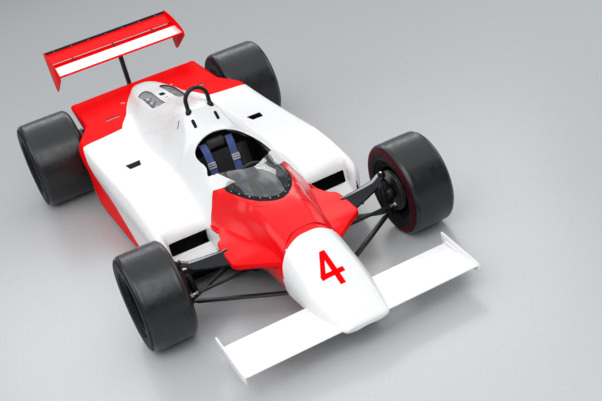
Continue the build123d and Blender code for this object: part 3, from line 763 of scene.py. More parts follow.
# ------------------------------------------------------------------ engine cover
k = Kit()
k.add(*skin(hump_surface(-1.575, 0.0595), 0.007))
cover = k.obj("engine_cover_panel", [WHITE, INSIDE])
cutters = []
WINDOW = [(-0.556, 0.056), (-0.566, 0.108), (-0.652, 0.142), (-1.060, 0.134), (-1.088, 0.112), (-1.097, 0.075), (-1.070, 0.052), (-1.007, 0.045), (-0.786, 0.050)]
window_round = rounded(WINDOW, 0.012, 5)
for side in (1, -1):
    cutters.append(plan_tool(window_round * np.array([1, side]), 0.60, 1.0))
cutters.append(plan_tool(rounded([(-0.862, -0.020), (-0.790, -0.020), (-0.790, 0.020), (-0.862, 0.020)], 0.003, 3), 0.70, 0.9))
for x in (-0.719, -0.644):
    cutters.append(plan_tool(capsule((x, -0.011), (x, 0.011), 0.0055, 5), 0.70, 0.9))
p0, p1 = np.array([0.029, -0.145, hump_whole.z(0.029, -0.145)]), np.array([0.008, -0.165, hump_whole.z(0.008, -0.165)])
n = hump_whole.point(0.018, -0.155)[1]
cutters.append(face_tool(capsule((-np.linalg.norm(p1 - p0) / 2, 0), (np.linalg.norm(p1 - p0) / 2, 0), 0.006), (p0 + p1) / 2, p1 - p0, np.cross(n, p1 - p0), 0.03))
carve(cover, cutters)
piece(cover, "chassis", "white_paint", "engine_cover")

# wire mesh under each window
k = Kit()
for side in (1, -1):
    for x in np.arange(-1.104, -0.548, 0.010):
        k.add(*tube([(x, side * y, hump_whole.z(x, y) - 0.0115) for y in np.linspace(0.034, 0.150, 6)], 0.0008, 4))
    for y in np.arange(0.036, 0.150, 0.010):
        xs = np.linspace(-1.106, -0.546, 16)
        k.add(*tube([(x, side * y, hump_whole.z(x, y) - 0.0125) for x in xs], 0.0008, 4))
grille = k.obj("intake_mesh", [MESH_WIRE])
piece(grille, "chassis", "alloy")

# dark sheet under the small openings on the crown of the hump
k = Kit()
k.add(*skin(np.array([[(x, y, hump_whole.z(x, y) - 0.011) for y in (-0.028, -0.014, 0.0, 0.014, 0.028)] for x in np.linspace(-0.885, -0.60, 16)]), 0.002))
for s in (1, -1):
    k.add(*skin(np.array([[(x, y, hump_whole.z(x, y) - 0.013) for y in np.linspace(s * 0.084 - 0.026, s * 0.084 + 0.026, 6)] for x in np.linspace(0.128, 0.206, 10)]), 0.002))
crown_sheet = k.obj("crown_backing", [INSIDE])
piece(crown_sheet, "chassis", "black_panel")

# seam between surround and cover, and the joint line along the hump side
k = Kit()
seam_pts = []
for t in np.linspace(0, 1, 30):
    x = -0.62 + t * 0.66
    y = 0.262 - t * 0.142
    p, n = hump_whole.point(x, y, 0.0002)
    seam_pts.append(p)
seam_pts = np.array(seam_pts)
k.add(*tube(seam_pts, 0.0010, 6))
k.add(*tube(seam_pts * np.array([1, -1, 1]), 0.0010, 6))
joint = k.obj("cover_joint_line", [black_satin("joint_grey", (0.45, 0.45, 0.46), 0.5)])
piece(joint, "chassis", "white_paint")

# ------------------------------------------------------------------ intake trumpets
k = Kit()
for x in (-0.655, -0.770, -0.885, -1.000):
    for s in (1, -1):
        prof = [(0.0, 0.020), (0.06, 0.0205), (0.10, 0.0225), (0.118, 0.0265), (0.126, 0.0325), (0.129, 0.037), (0.131, 0.0375), (0.1315, 0.035), (0.127, 0.030), (0.118, 0.0242), (0.10, 0.0200), (0.06, 0.0182), (0.0, 0.0178)]
        k.add(*turn(prof, (x, s * 0.084, 0.550), (0, 0, 1), 28))
trumpets = k.obj("intake_trumpet_set", [ALLOY])
piece(trumpets, "chassis", "alloy", "intake_trumpets")

# ------------------------------------------------------------------ sidepods
# columns: foot y, foot z, then z at y = 0.50, 0.634, 0.645, 0.662, near the edge, at the edge; bottom z; outer y
POD = {
    -0.9005: (0.355, 0.572, 0.560, 0.552, 0.551, 0.548, 0.540, 0.522, 0.06, 0.700),
    -0.712: (0.370, 0.547, 0.540, 0.537, 0.537, 0.535, 0.529, 0.511, 0.05, 0.700),
    -0.30: (0.370, 0.527, 0.524, 0.523, 0.523, 0.523, 0.518, 0.500, 0.05, 0.700),
    0.05: (0.362, 0.522, 0.520, 0.520, 0.520, 0.520, 0.516, 0.500, 0.05, 0.700),
    0.30: (0.362, 0.5165, 0.519, 0.520, 0.520, 0.520, 0.516, 0.500, 0.05, 0.700),
    0.36: (0.365, 0.511, 0.513, 0.515, 0.515, 0.516, 0.513, 0.497, 0.05, 0.700),
    0.45: (0.370, 0.491, 0.493, 0.498, 0.499, 0.500, 0.502, 0.488, 0.05, 0.700),
    0.62: (0.375, 0.455, 0.458, 0.466, 0.467, 0.470, 0.474, 0.460, 0.055, 0.700),
    0.75: (0.370, 0.418, 0.428, 0.437, 0.438, 0.441, 0.446, 0.432, 0.062, 0.700),
    0.775: (0.368, 0.402, 0.411, 0.418, 0.424, 0.434, 0.440, 0.426, 0.066, 0.700),
    0.788: (0.366, 0.382, 0.388, 0.394, 0.410, 0.430, 0.436, 0.421, 0.068, 0.700),
    0.794: (0.365, 0.362, 0.362, 0.366, 0.400, 0.428, 0.434, 0.419, 0.070, 0.700),
    0.7965: (0.365, 0.266, 0.266, 0.270, 0.372, 0.427, 0.433, 0.418, 0.070, 0.700),
    0.82: (0.360, 0.255, 0.255, 0.259, 0.352, 0.413, 0.422, 0.408, 0.075, 0.700),
    0.86: (0.352, 0.234, 0.234, 0.238, 0.318, 0.378, 0.392, 0.378, 0.095, 0.697),
    0.880: (0.348, 0.220, 0.220, 0.224, 0.290, 0.345, 0.362, 0.346, 0.115, 0.690),
    0.892: (0.346, 0.208, 0.208, 0.212, 0.262, 0.308, 0.324, 0.306, 0.135, 0.680),
    0.901: (0.345, 0.192, 0.192, 0.194, 0.225, 0.256, 0.266, 0.250, 0.150, 0.668),
    0.905: (0.345, 0.164, 0.164, 0.164, 0.166, 0.168, 0.168, 0.166, 0.158, 0.660),
}
POD_X = np.array(sorted(POD))
POD_ROWS = []
for x in POD_X:
    yj, zj, a, b, c, d, e1, e2, zb, yo = POD[x]
    POD_ROWS.append([(yj - 0.07, zj - 0.003), (yj, zj), (0.50, a), (0.634, b), (0.645, c), (0.662, d), (yo - 0.013, e1), (yo, e2), (yo, (e2 * 0.5 + zb * 0.5)), (yo, zb)])
POD_T = np.array(POD_ROWS, float)


def pod_surface(x0=-0.8995, x1=0.905):
    xs = stations(x0, 0.74, 0.016, (0.33, 0.36, 0.39))
    xs = np.concatenate([xs, np.arange(0.7444, 0.788, 0.004), np.arange(0.788, 0.7975, 0.0008), np.arange(0.7985, 0.8985, 0.005), np.arange(0.8995, 0.9051, 0.0011), [0.905]])
    xs = np.unique(np.round(xs, 6))
    rows = through_rows(POD_X, POD_T, xs)
    return at_x(flow(rows, 5, corners=(1,)), xs)


pod_p = pod_surface()
pod_top = Surface(pod_p[:, :36])
SLOPE_AT, SLOPE_UP = Vector((-0.90, 0.0, 0.545)), Vector((0.42, 0.0, 1.0))
for side, name in ((1, "left"), (-1, "right")):
    k = Kit()
    k.add(*skin(pod_p, 0.005, centre_y=0.45))
    if side < 0:
        k.flipped()
    pod = k.obj(f"sidepod_panel_{name}", [WHITE, INSIDE, RED])
    cutters = []
    mouth = rounded([(0.360, 0.268), (0.632, 0.270), (0.632, 0.360), (0.360, 0.358)], 0.012, 5) * np.array([side, 1])
    cutters.append(tool(*prism(mouth, 0, 0.74, 0.81)))
    vent = rounded([(-0.200, 0.441), (-0.200, 0.525), (-0.292, 0.535), (-0.292, 0.426)], 0.005, 4) * np.array([1, side])
    cutters.append(plan_tool(vent, 0.47, 0.58))
    carve(pod, cutters)
    # red rear part of the side below one straight sloping line
    bm = bmesh.new()
    bm.from_mesh(pod.data)
    bmesh.ops.bisect_plane(bm, geom=bm.verts[:] + bm.edges[:] + bm.faces[:], plane_co=SLOPE_AT, plane_no=SLOPE_UP)
    bm.to_mesh(pod.data)
    bm.free()
    for poly in pod.data.polygons:
        c = poly.center
        if poly.material_index == 0 and abs(c.y) > 0.686 and c.x < 0.36 and (c - SLOPE_AT).dot(SLOPE_UP) < 0:
            poly.material_index = 2
        elif c.x > 0.80 and c.z < 0.205 and abs(c.y) < 0.66:
            poly.material_index = 1
    smooth(pod)
    piece(pod, "chassis", "white_paint", f"sidepod_{name}")

# boxes behind the vents and the mouths, dark inside
k = Kit()
for s in (1, -1):
    for prof in ([(-0.188, 0.430, 0.508), (-0.188, 0.536, 0.508), (-0.304, 0.546, 0.462), (-0.304, 0.415, 0.462)],):
        pts = np.array(prof) * np.array([1, s, 1])
        k.add(*loft(np.stack([pts, pts - np.array([0, 0, 0.006])])))
vent_floor = k.obj("sidepod_vent_floor", [INSIDE])
piece(vent_floor, "chassis", "black_panel")

k = Kit()
for s in (1, -1):
    lo, hi = np.array([0.64, 0.08]), np.array([0.56, 0.395])
    d = (hi - lo) / np.linalg.norm(hi - lo)
    nrm = np.array([d[1], -d[0]])
    for i in range(40):
        a = lo + (hi - lo) * (i + 0.15) / 40
        b = lo + (hi - lo) * (i + 0.55) / 40
        q = np.array([a, a + nrm * 0.052, b + nrm * 0.052, b])
        k.add(*prism(q, 1, s * 0.386, s * 0.654))
    for y in (0.380, 0.654):
        q = np.array([lo, lo + nrm * 0.060, hi + nrm * 0.060, hi])
        k.add(*prism(q, 1, s * y, s * (y + 0.006)))
    q = np.array([lo + nrm * 0.018, lo + nrm * 0.036, hi + nrm * 0.036, hi + nrm * 0.018])
    k.add(*prism(q, 1, s * 0.386, s * 0.654))
rad = k.obj("radiator_cores", [CORE])
piece(rad, "chassis", "black_panel", "radiators")

# ------------------------------------------------------------------ rear deck
# columns: z at the centre, at 0.2, then (y, z) pairs out to the edge, bottom z
DECK = {
    -0.9015: [(0, 0.585), (0.2, 0.585), (0.355, 0.572), (0.50, 0.560), (0.64, 0.548), (0.687, 0.540), (0.700, 0.522), (0.700, 0.28), (0.700, 0.06)],
    -1.00: [(0, 0.599), (0.2, 0.599), (0.35, 0.586), (0.50, 0.571), (0.634, 0.555), (0.680, 0.547), (0.693, 0.529), (0.693, 0.32), (0.693, 0.14)],
    -1.10: [(0, 0.605), (0.2, 0.605), (0.34, 0.597), (0.46, 0.586), (0.580, 0.570), (0.627, 0.562), (0.640, 0.545), (0.640, 0.43), (0.640, 0.32)],
    -1.23: [(0, 0.610), (0.2, 0.610), (0.32, 0.605), (0.42, 0.599), (0.515, 0.590), (0.561, 0.583), (0.574, 0.568), (0.574, 0.52), (0.574, 0.47)],
    -1.45: [(0, 0.616), (0.2, 0.616), (0.30, 0.615), (0.40, 0.612), (0.500, 0.607), (0.552, 0.602), (0.565, 0.590), (0.565, 0.565), (0.565, 0.54)],
    -1.698: [(0, 0.626), (0.2, 0.626), (0.30, 0.625), (0.40, 0.624), (0.490, 0.622), (0.545, 0.620), (0.557, 0.610), (0.557, 0.597), (0.557, 0.585)],
}
DECK_X = np.array(sorted(DECK))
DECK_T = np.array([DECK[x] for x in DECK_X], float)
xs = stations(-1.698, -0.9015, 0.014)
rows = flow(both_sides(through_rows(DECK_X, DECK_T, xs)), 5)
deck_p = at_x(rows, xs)
deck_top = Surface(deck_p)
k = Kit()
k.add(*skin(deck_p, 0.006, centre_z=0.4))
deck = k.obj("rear_deck_panel", [RED, INSIDE])
foot = [(x, through_rows(HUMP_X, HUMP_T, [x])[0][6, 0] - 0.022) for x in np.linspace(-1.46, -0.90, 15)]
foot = [(x, max(0.012, y)) for x, y in foot]
under = np.array([*foot, (-0.85, foot[-1][1]), (-0.85, -foot[-1][1]), *[(x, -y) for x, y in reversed(foot)]])
cutters = [plan_tool(under, 0.5, 0.75)]
for s in (1, -1):
    cutters.append(plan_tool(capsule((-1.119, s * 0.312), (-1.135, s * 0.408), 0.014), 0.45, 0.75))
carve(deck, cutters)
piece(deck, "chassis", "red_paint", "rear_deck")

# dark trays under the deck slots, painted shade for the inside of the body seen through them, and one bright oval cap
# on each side of the hump
k = Kit()
for s in (1, -1):
    z = deck_top.z(-1.127, 0.36) - 0.026
    k.add(*prism(rounded([(-1.165, 0.285), (-1.09, 0.285), (-1.09, 0.435), (-1.165, 0.435)], 0.012, 4) * np.array([1, s]), 2, z - 0.003, z), 0)
    cap = capsule((-1.318, s * 0.200), (-1.334, s * 0.218), 0.0085)
    z = deck_top.z(-1.326, 0.209)
    k.add(*prism(cap, 2, z - 0.002, z + 0.0025), 1)
deck_bits = k.obj("deck_trays_caps", [INSIDE, HEAD])
piece(deck_bits, "chassis", "black_panel")

# ------------------------------------------------------------------ red tub front
# columns: centre, top edge, soft crease, below it, side, crease over the fairing, tub side, bottom corner, bottom
TUB = {
    0.772: [(0, 0.650), (0.120, 0.632), (0.209, 0.606), (0.251, 0.582), (0.300, 0.506), (0.344, 0.432), (0.362, 0.380), (0.353, 0.10), (0.30, 0.062), (0, 0.06)],
    0.90: [(0, 0.630), (0.115, 0.618), (0.203, 0.596), (0.240, 0.566), (0.287, 0.492), (0.328, 0.426), (0.350, 0.370), (0.346, 0.10), (0.30, 0.064), (0, 0.062)],
    1.00: [(0, 0.622), (0.112, 0.612), (0.199, 0.596), (0.228, 0.560), (0.268, 0.485), (0.308, 0.420), (0.337, 0.370), (0.300, 0.12), (0.27, 0.090), (0, 0.085)],
    1.08: [(0, 0.615), (0.110, 0.608), (0.185, 0.596), (0.213, 0.555), (0.250, 0.478), (0.290, 0.413), (0.322, 0.365), (0.275, 0.135), (0.25, 0.110), (0, 0.105)],
    1.162: [(0, 0.607), (0.108, 0.603), (0.152, 0.595), (0.190, 0.550), (0.230, 0.470), (0.268, 0.408), (0.304, 0.358), (0.235, 0.160), (0.21, 0.145), (0, 0.14)],
    1.22: [(0, 0.602), (0.110, 0.595), (0.150, 0.578), (0.184, 0.538), (0.217, 0.465), (0.252, 0.406), (0.289, 0.353), (0.219, 0.172), (0.196, 0.158), (0, 0.154)],
    1.30: [(0, 0.593), (0.110, 0.582), (0.150, 0.560), (0.178, 0.524), (0.204, 0.460), (0.230, 0.404), (0.268, 0.345), (0.207, 0.180), (0.185, 0.170), (0, 0.168)],
    1.392: [(0, 0.578), (0.108, 0.566), (0.150, 0.540), (0.175, 0.506), (0.195, 0.453), (0.210, 0.402), (0.250, 0.332), (0.203, 0.182), (0.185, 0.170), (0, 0.168)],
    1.50: [(0, 0.548), (0.095, 0.536), (0.145, 0.503), (0.168, 0.472), (0.184, 0.433), (0.194, 0.396), (0.224, 0.312), (0.203, 0.180), (0.187, 0.165), (0, 0.163)],
    1.60: [(0, 0.514), (0.075, 0.506), (0.128, 0.470), (0.150, 0.444), (0.168, 0.416), (0.182, 0.386), (0.211, 0.300), (0.205, 0.168), (0.190, 0.152), (0, 0.150)],
}
TUB_X = np.array(sorted(TUB))
TUB_T = np.array([TUB[x] for x in TUB_X], float)
xs = stations(0.772, 1.60, 0.012)
half = through_rows(TUB_X, TUB_T, np.minimum(xs, 1.60))
dense = flow(both_sides(half), 6, corners=(2, 4, 14, 16))[:, :-1]  # closed ring, bottom centre shared
tub_p = at_x(dense, xs)
tilt = np.clip((xs - 1.30) / 0.30, 0, 1)[:, None]
tub_p[..., 0] += tilt * (0.33 - tub_p[..., 2]) * 0.22
k = Kit()
k.add(*skin(tub_p, 0.007, centre_z=0.30, wrap=True))
tub = k.obj("tub_front_panel", [RED_GLOSS, INSIDE, WHITE])
EDGE = [*SPLIT[:3], (0.94, 0.180), (1.02, 0.166), (1.10, 0.145), (1.17, 0.113), (1.23, 0.073), (1.262, 0.035), (1.270, 0.0)]
red_open = np.array([(0.60, 0.252), *EDGE, *[(x, -y) for x, y in EDGE[-2::-1]], (0.60, -0.252)])
cutters = [plan_tool(red_open, 0.36, 1.0)]
for s in (1, -1):  # sloping rear edge of the red side
    cutters.append(plan_tool(np.array([(0.70, 0.6), (0.871, 0.6), (0.852, 0.345), (0.784, 0.252), (0.70, 0.252)]) * np.array([1, s]), 0.374, 1.0))
rod_hole = rounded([(1.312, 0.248), (1.352, 0.248), (1.352, 0.288), (1.312, 0.288)], 0.015, 5)
for s in (1, -1):
    cutters.append(tool(*prism(rod_hole, 1, s * 0.10, s * 0.36)))
carve(tub, cutters)
for poly in tub.data.polygons:  # the tub side below the panel edge: a white strip, black under it
    c = poly.center
    if c.x > 1.50 and poly.normal.x > 0.6:
        poly.material_index = 0
    elif poly.material_index == 0 and c.x < 1.20 and c.z < 0.372:
        poly.material_index = 2 if c.z > 0.23 else 1


def tub_point(x, y, lift=0.0):
    """Point on the upper tub surface."""
    rows = through_rows(TUB_X, TUB_T, [min(x, 1.60)])[0][:6]
    curve = flow(rows, 8)
    z = float(np.interp(abs(y), curve[:, 0], curve[:, 1]))
    return np.array([x + (np.clip((x - 1.30) / 0.30, 0, 1) * (0.33 - z) * 0.22), y, z + lift])


# inner liner of the cockpit
k = Kit()
xs = np.linspace(0.20, 1.52, 45)
lin = []
for x in xs:
    w = float(np.interp(x, [0.2, 0.8, 1.0, 1.162, 1.6], [0.270, 0.270, 0.245, 0.200, 0.160]))
    h = float(np.interp(x, [0.2, 0.62, 0.80, 1.05, 1.162, 1.6], [0.58, 0.52, 0.47, 0.42, 0.40, 0.36]))
    f0 = float(np.interp(x, [0.2, 0.9, 1.0, 1.162, 1.3, 1.6], [0.10, 0.10, 0.12, 0.165, 0.195, 0.195]))
    lin.append([(0, f0), (w - 0.05, f0), (w - 0.012, f0 + 0.02), (w, f0 + 0.07), (w, (f0 + h) / 2), (w - 0.01, h)])
lin = flow(both_sides(np.array(lin)), 4)
p = at_x(lin, xs)
v, f, m = skin(p, -0.004, centre_z=0.35)
k.add(v, f, 0)
k.add(*prism([(-0.27, 0.09), (0.27, 0.09), (0.26, 0.57), (0.10, 0.70), (-0.10, 0.70), (-0.26, 0.57)], 0, 0.196, 0.206))
k.add(*prism([(-0.165, 0.19), (0.165, 0.19), (0.155, 0.38), (0.09, 0.46), (-0.09, 0.46), (-0.155, 0.38)], 0, 1.50, 1.51))
liner = k.obj("cockpit_liner", [INSIDE])
carve(liner, [tool(*prism(rod_hole, 1, -0.30, 0.30))])
piece(liner, "chassis", "black_panel")

# dash hoop with round dials, open below for the column
k = Kit()
DASH_X = 1.080
dash = [(0.165, 0.33), (0.165, 0.47)]
dash += [(0.165 * math.cos(a), 0.470 + 0.110 * math.sin(a)) for a in np.linspace(0, math.pi, 25)[1:-1]]
dash += [(-0.165, 0.47), (-0.165, 0.33), (-0.030, 0.33), (-0.030, 0.535)]
dash += [(-0.030 * math.cos(a), 0.535 + 0.022 * math.sin(a)) for a in np.linspace(0, math.pi, 11)[1:-1]]
dash += [(0.030, 0.535), (0.030, 0.33)]
k.add(*prism(dash, 0, DASH_X, DASH_X + 0.006))
DIALS = ((0.080, 0.508, 0.038), (-0.080, 0.508, 0.038), (0.118, 0.430, 0.026), (-0.118, 0.430, 0.026))
for y, z, r in DIALS:
    k.add(*turn([(0, r), (-0.012, r), (-0.016, r - 0.003), (-0.016, r - 0.006), (-0.012, r - 0.007), (0, r - 0.007)], (DASH_X, y, z), (1, 0, 0), 32))
dash_panel = k.obj("dash_panel", [BLACK], bevel=0.001)
piece(dash_panel, "chassis", "black_panel")
k = Kit()
for y, z, r in DIALS:
    r -= 0.007
    k.add(*turn([(-0.004, 0), (-0.004, r), (-0.002, r), (-0.002, 0)], (DASH_X - 0.002, y, z), (1, 0, 0), 32, closed=False))
    for a in np.linspace(-2.3, 2.3, 9):
        c, s = math.cos(a + math.pi / 2), math.sin(a + math.pi / 2)
        q = [(DASH_X - 0.0065, y + c * r * 0.75, z + s * r * 0.75), (DASH_X - 0.0065, y + c * r * 0.95, z + s * r * 0.95)]
        k.add(*tube(q, 0.0008, 5), 1)
    k.add(*tube([(DASH_X - 0.0067, y, z), (DASH_X - 0.0067, y - r * 0.5, z + r * 0.6)], 0.0009, 5), 1)
dials = k.obj("dash_dials", [GASKET, HEAD])
piece(dials, "chassis", "black_panel")

piece(tub, "chassis", "red_paint", "monocoque")

# panel lines on the red panel
k = Kit()


def line_on_tub(points, r=0.0011, n=10):
    pts = []
    for (x0, y0), (x1, y1) in zip(points[:-1], points[1:]):
        for t in np.linspace(0, 1, n, endpoint=False):
            pts.append(tub_point(x0 + (x1 - x0) * t, y0 + (y1 - y0) * t, 0.0002))
    pts.append(tub_point(*points[-1], 0.0002))
    k.add(*tube(np.array(pts), r, 6))


line_on_tub([(1.215, -0.150), (1.285, -0.105), (1.312, -0.05), (1.318, 0.0), (1.312, 0.05), (1.285, 0.105), (1.215, 0.150)])
line_on_tub([(1.312, 0.05), (1.40, 0.052), (1.585, 0.040)])
line_on_tub([(1.345, 0.052), (1.375, 0.100), (1.395, 0.150)])
scuttle_lines = k.obj("scuttle_panel_lines", [SEAM])
piece(scuttle_lines, "chassis", "red_paint")

# ------------------------------------------------------------------ suspension fairings
# columns: inner top, outer top, outer bottom, inner bottom as (y, z)
FAIR = {
    1.575: [(0.180, 0.376), (0.196, 0.366), (0.200, 0.336), (0.190, 0.330)],
    1.512: [(0.186, 0.392), (0.274, 0.368), (0.272, 0.333), (0.200, 0.318)],
    1.456: [(0.190, 0.398), (0.337, 0.368), (0.335, 0.333), (0.205, 0.312)],
    1.42: [(0.195, 0.401), (0.388, 0.370), (0.386, 0.333), (0.214, 0.312)],
    1.394: [(0.199, 0.402), (0.419, 0.371), (0.417, 0.334), (0.221, 0.315)],
    1.372: [(0.204, 0.403), (0.429, 0.374), (0.427, 0.336), (0.226, 0.318)],
    1.28: [(0.222, 0.405), (0.428, 0.388), (0.426, 0.348), (0.240, 0.332)],
    1.172: [(0.250, 0.410), (0.422, 0.407), (0.420, 0.368), (0.270, 0.350)],
    1.135: [(0.260, 0.412), (0.415, 0.411), (0.413, 0.373), (0.279, 0.355)],
    1.105: [(0.270, 0.413), (0.388, 0.413), (0.386, 0.377), (0.285, 0.358)],
    1.06: [(0.282, 0.416), (0.362, 0.416), (0.360, 0.382), (0.295, 0.364)],
    0.985: [(0.302, 0.424), (0.343, 0.415), (0.342, 0.388), (0.312, 0.370)],
}
FAIR_X = np.array(sorted(FAIR))
FAIR_T = np.array([FAIR[x] for x in FAIR_X], float)
xs = stations(0.985, 1.575, 0.010, FAIR_X)
fair_rings = []
for x, row in zip(xs, through_rows(FAIR_X, FAIR_T, xs)):
    fair_rings.append(rounded(row, 0.012, 6))
k = Kit()
k.add(*loft(at_x(np.array(fair_rings), xs)))
# rolled lip behind the fairing
lip = np.array([(0.862, 0.351, 0.396), (0.895, 0.352, 0.392), (0.945, 0.350, 0.396), (0.985, 0.344, 0.404), (1.02, 0.352, 0.404), (1.06, 0.362, 0.402)])
k.add(*tube(flow(lip, 6), 0.007, 10))
k.mirror()
fairings = k.obj("suspension_fairing_pair", [RED_FAIRING], angle=50)
piece(fairings, "chassis", "red_paint", "suspension_fairings")

# ------------------------------------------------------------------ nose cone
NOSE = {
    1.575: [(0, 0.526), (0.054, 0.521), (0.102, 0.494), (0.144, 0.458), (0.186, 0.390), (0.212, 0.307), (0.218, 0.226), (0.207, 0.160), (0.185, 0.148), (0, 0.147)],
    1.70: [(0, 0.447), (0.062, 0.443), (0.108, 0.427), (0.148, 0.398), (0.185, 0.343), (0.209, 0.275), (0.214, 0.208), (0.203, 0.152), (0.180, 0.140), (0, 0.139)],
    1.848: [(0, 0.361), (0.072, 0.358), (0.117, 0.348), (0.152, 0.326), (0.183, 0.286), (0.202, 0.236), (0.205, 0.190), (0.195, 0.144), (0.172, 0.132), (0, 0.131)],
    2.00: [(0, 0.273), (0.080, 0.271), (0.121, 0.264), (0.149, 0.248), (0.170, 0.222), (0.181, 0.192), (0.182, 0.166), (0.173, 0.139), (0.152, 0.129), (0, 0.128)],
    2.12: [(0, 0.204), (0.085, 0.203), (0.117, 0.199), (0.137, 0.190), (0.149, 0.176), (0.155, 0.163), (0.155, 0.152), (0.148, 0.138), (0.130, 0.130), (0, 0.129)],
    2.160: [(0, 0.181), (0.084, 0.180), (0.114, 0.178), (0.131, 0.172), (0.141, 0.163), (0.145, 0.156), (0.144, 0.149), (0.138, 0.139), (0.122, 0.132), (0, 0.131)],
    2.176: [(0, 0.171), (0.082, 0.171), (0.108, 0.169), (0.124, 0.165), (0.133, 0.158), (0.136, 0.153), (0.135, 0.148), (0.130, 0.141), (0.115, 0.135), (0, 0.134)],
    2.1848: [(0, 0.161), (0.074, 0.161), (0.096, 0.160), (0.110, 0.158), (0.117, 0.154), (0.119, 0.151), (0.118, 0.148), (0.113, 0.145), (0.100, 0.142), (0, 0.1415)],
}
NOSE_X = np.array(sorted(NOSE))
NOSE_T = np.array([NOSE[x] for x in NOSE_X], float)
xs = np.unique(np.concatenate([[1.575, 1.588, 1.5992, 1.6006, 1.604], stations(1.612, 2.15, 0.012), stations(2.15, 2.1848, 0.003)]))
half = through_rows(NOSE_X, NOSE_T, xs)
dense = flow(both_sides(half), 6)[:, :-1]
# the rear end steps in and slides into the tub
step_in = np.where(xs < 1.5999, 0.990, np.interp(xs, [1.600, 1.604, 1.66], [0.999, 0.9995, 1.0]))[:, None, None]
dense = np.array([0, 0.33]) + (dense - np.array([0, 0.33])) * step_in
nose_p = at_x(dense, xs)
nose_p[..., 0] += np.clip((1.95 - xs) / 0.35, 0, 1)[:, None] * (0.33 - nose_p[..., 2]) * 0.22
k = Kit()
k.add(*loft(nose_p))
nose = k.obj("nose_cone_shell", [WHITE, RED_GLOSS])
bm = bmesh.new()
bm.from_mesh(nose.data)
bmesh.ops.bisect_plane(bm, geom=bm.verts[:] + bm.edges[:] + bm.faces[:], plane_co=(1.597, 0.0, 0.0), plane_no=(1.0, 0.0, 0.0))
bm.to_mesh(nose.data)
bm.free()
for poly in nose.data.polygons:  # the red of the tub runs on to one upright line
    if poly.center.x < 1.597 and poly.center.z > 0.31:
        poly.material_index = 1
smooth(nose)
piece(nose, "chassis", "white_paint", "nose_cone")


def nose_z(x, y):
    rows = through_rows(NOSE_X, NOSE_T, [x])[0][:7]
    curve = flow(rows, 8)
    return float(np.interp(abs(y), curve[:, 0], curve[:, 1]))


def on_nose(x, y, lift):
    """Point on the nose top; x is the station before the sections lean."""
    z = nose_z(x, y)
    return np.array([x + np.clip((1.95 - x) / 0.35, 0, 1) * (0.33 - z) * 0.22, y, z + lift])


# plain race number on the nose, a thin film
k = Kit()


def film(quad, n=14):
    a, b, c, d = (np.array(q, float) for q in quad)
    top, low = [], []
    for i in range(n + 1):
        for j in range(n + 1):
            s, t = i / n, j / n
            x, y = (a * (1 - s) + b * s) * (1 - t) + (d * (1 - s) + c * s) * t
            top.append(on_nose(x, y, 0.0011))
            low.append(on_nose(x, y, -0.0006))
    idx = np.arange((n + 1) ** 2).reshape(n + 1, n + 1)
    f = quads(idx) + [tuple(reversed(q)) for q in quads(idx + len(top))]
    rim = [*idx[0], *idx[1:, -1], *idx[-1, -2::-1], *idx[-2:0:-1, 0]]
    for u, w in zip(rim, rim[1:] + rim[:1]):
        f.append((w, u, u + len(top), w + len(top)))
    k.add(np.array(top + low), f)


film([(1.955, 0.020), (1.955, -0.014), (1.750, -0.014), (1.750, 0.020)])
film([(1.896, 0.055), (1.868, 0.055), (1.868, -0.090), (1.896, -0.090)])
film([(1.750, -0.014), (1.750, 0.016), (1.874, -0.056), (1.874, -0.090)])
number = k.obj("nose_number", [RED])
piece(number, "chassis", "red_paint")

# nose fasteners
k = Kit()
pts, nrm = [], []
for y in (-0.15, 0.15):
    pts.append(on_nose(1.615, y, 0.0))
    nrm.append((0.3, y * 4, 0.8))
k.add(*domes(pts, nrm, 0.008, 0.003, 14))
nose_screws = k.obj("nose_fasteners", [HEAD])
piece(nose_screws, "chassis", "alloy")

# ------------------------------------------------------------------ wings


def foil(le, te, thick, camber, n=26):
    """Closed wing outline of (x, z), rounded nose and thin tail."""
    le, te = np.array(le, float), np.array(te, float)
    chord = te - le
    length = np.linalg.norm(chord)
    u = chord / length
    w = np.array([-u[1], u[0]])
    if w[1] < 0:
        w = -w
    s = (1 - np.cos(np.linspace(0, math.pi, n))) / 2
    th = 5 * thick * (0.2969 * np.sqrt(s) - 0.126 * s - 0.3516 * s**2 + 0.2843 * s**3 - 0.1015 * s**4) + 0.0012 * s
    cam = camber * 4 * s * (1 - s)
    top = le + np.outer(s * length, u) + np.outer(cam + th, w)
    low = le + np.outer(s * length, u) + np.outer(cam - th, w)
    return np.concatenate([top, low[-1:0:-1]])


def wing(outline, y0, y1, n=10):
    ys = np.linspace(y0, y1, n)
    p = np.array([[(x, y, z) for x, z in outline] for y in ys])
    return loft(p)


k = Kit()
FRONT = foil((2.157, 0.151), (1.828, 0.172), 0.030, -0.006)
k.add(*wing(FRONT, 0.12, 0.7315))
k.mirror()
front_wing = k.obj("front_wing_planes", [WHITE])
piece(front_wing, "chassis", "white_paint", "front_wing")

k = Kit()
PLATE = rounded([(2.172, 0.120), (2.172, 0.166), (2.150, 0.176), (1.800, 0.232), (1.788, 0.228), (1.790, 0.132), (1.80, 0.128), (2.10, 0.117)], 0.008, 4)
rows = []
for y, grow in ((0.7312, -0.0012), (0.7325, 0.0), (0.7395, 0.0), (0.7408, -0.0012)):
    c = PLATE.mean(0)
    q = c + (PLATE - c) * (1 + grow / 0.05)
    rows.append([(x, y + (z - 0.150) * 0.02, z) for x, z in q])
k.add(*loft(np.array(rows)))
# foot strip along the inside of the plate
q = [(2.13, 0.150), (2.13, 0.158), (1.84, 0.190), (1.84, 0.182)]
k.add(*prism(q, 1, 0.722, 0.7316))
k.mirror()
end_plates = k.obj("front_wing_plates", [WHITE], angle=40)
piece(end_plates, "chassis", "white_paint", "front_wing_endplates")

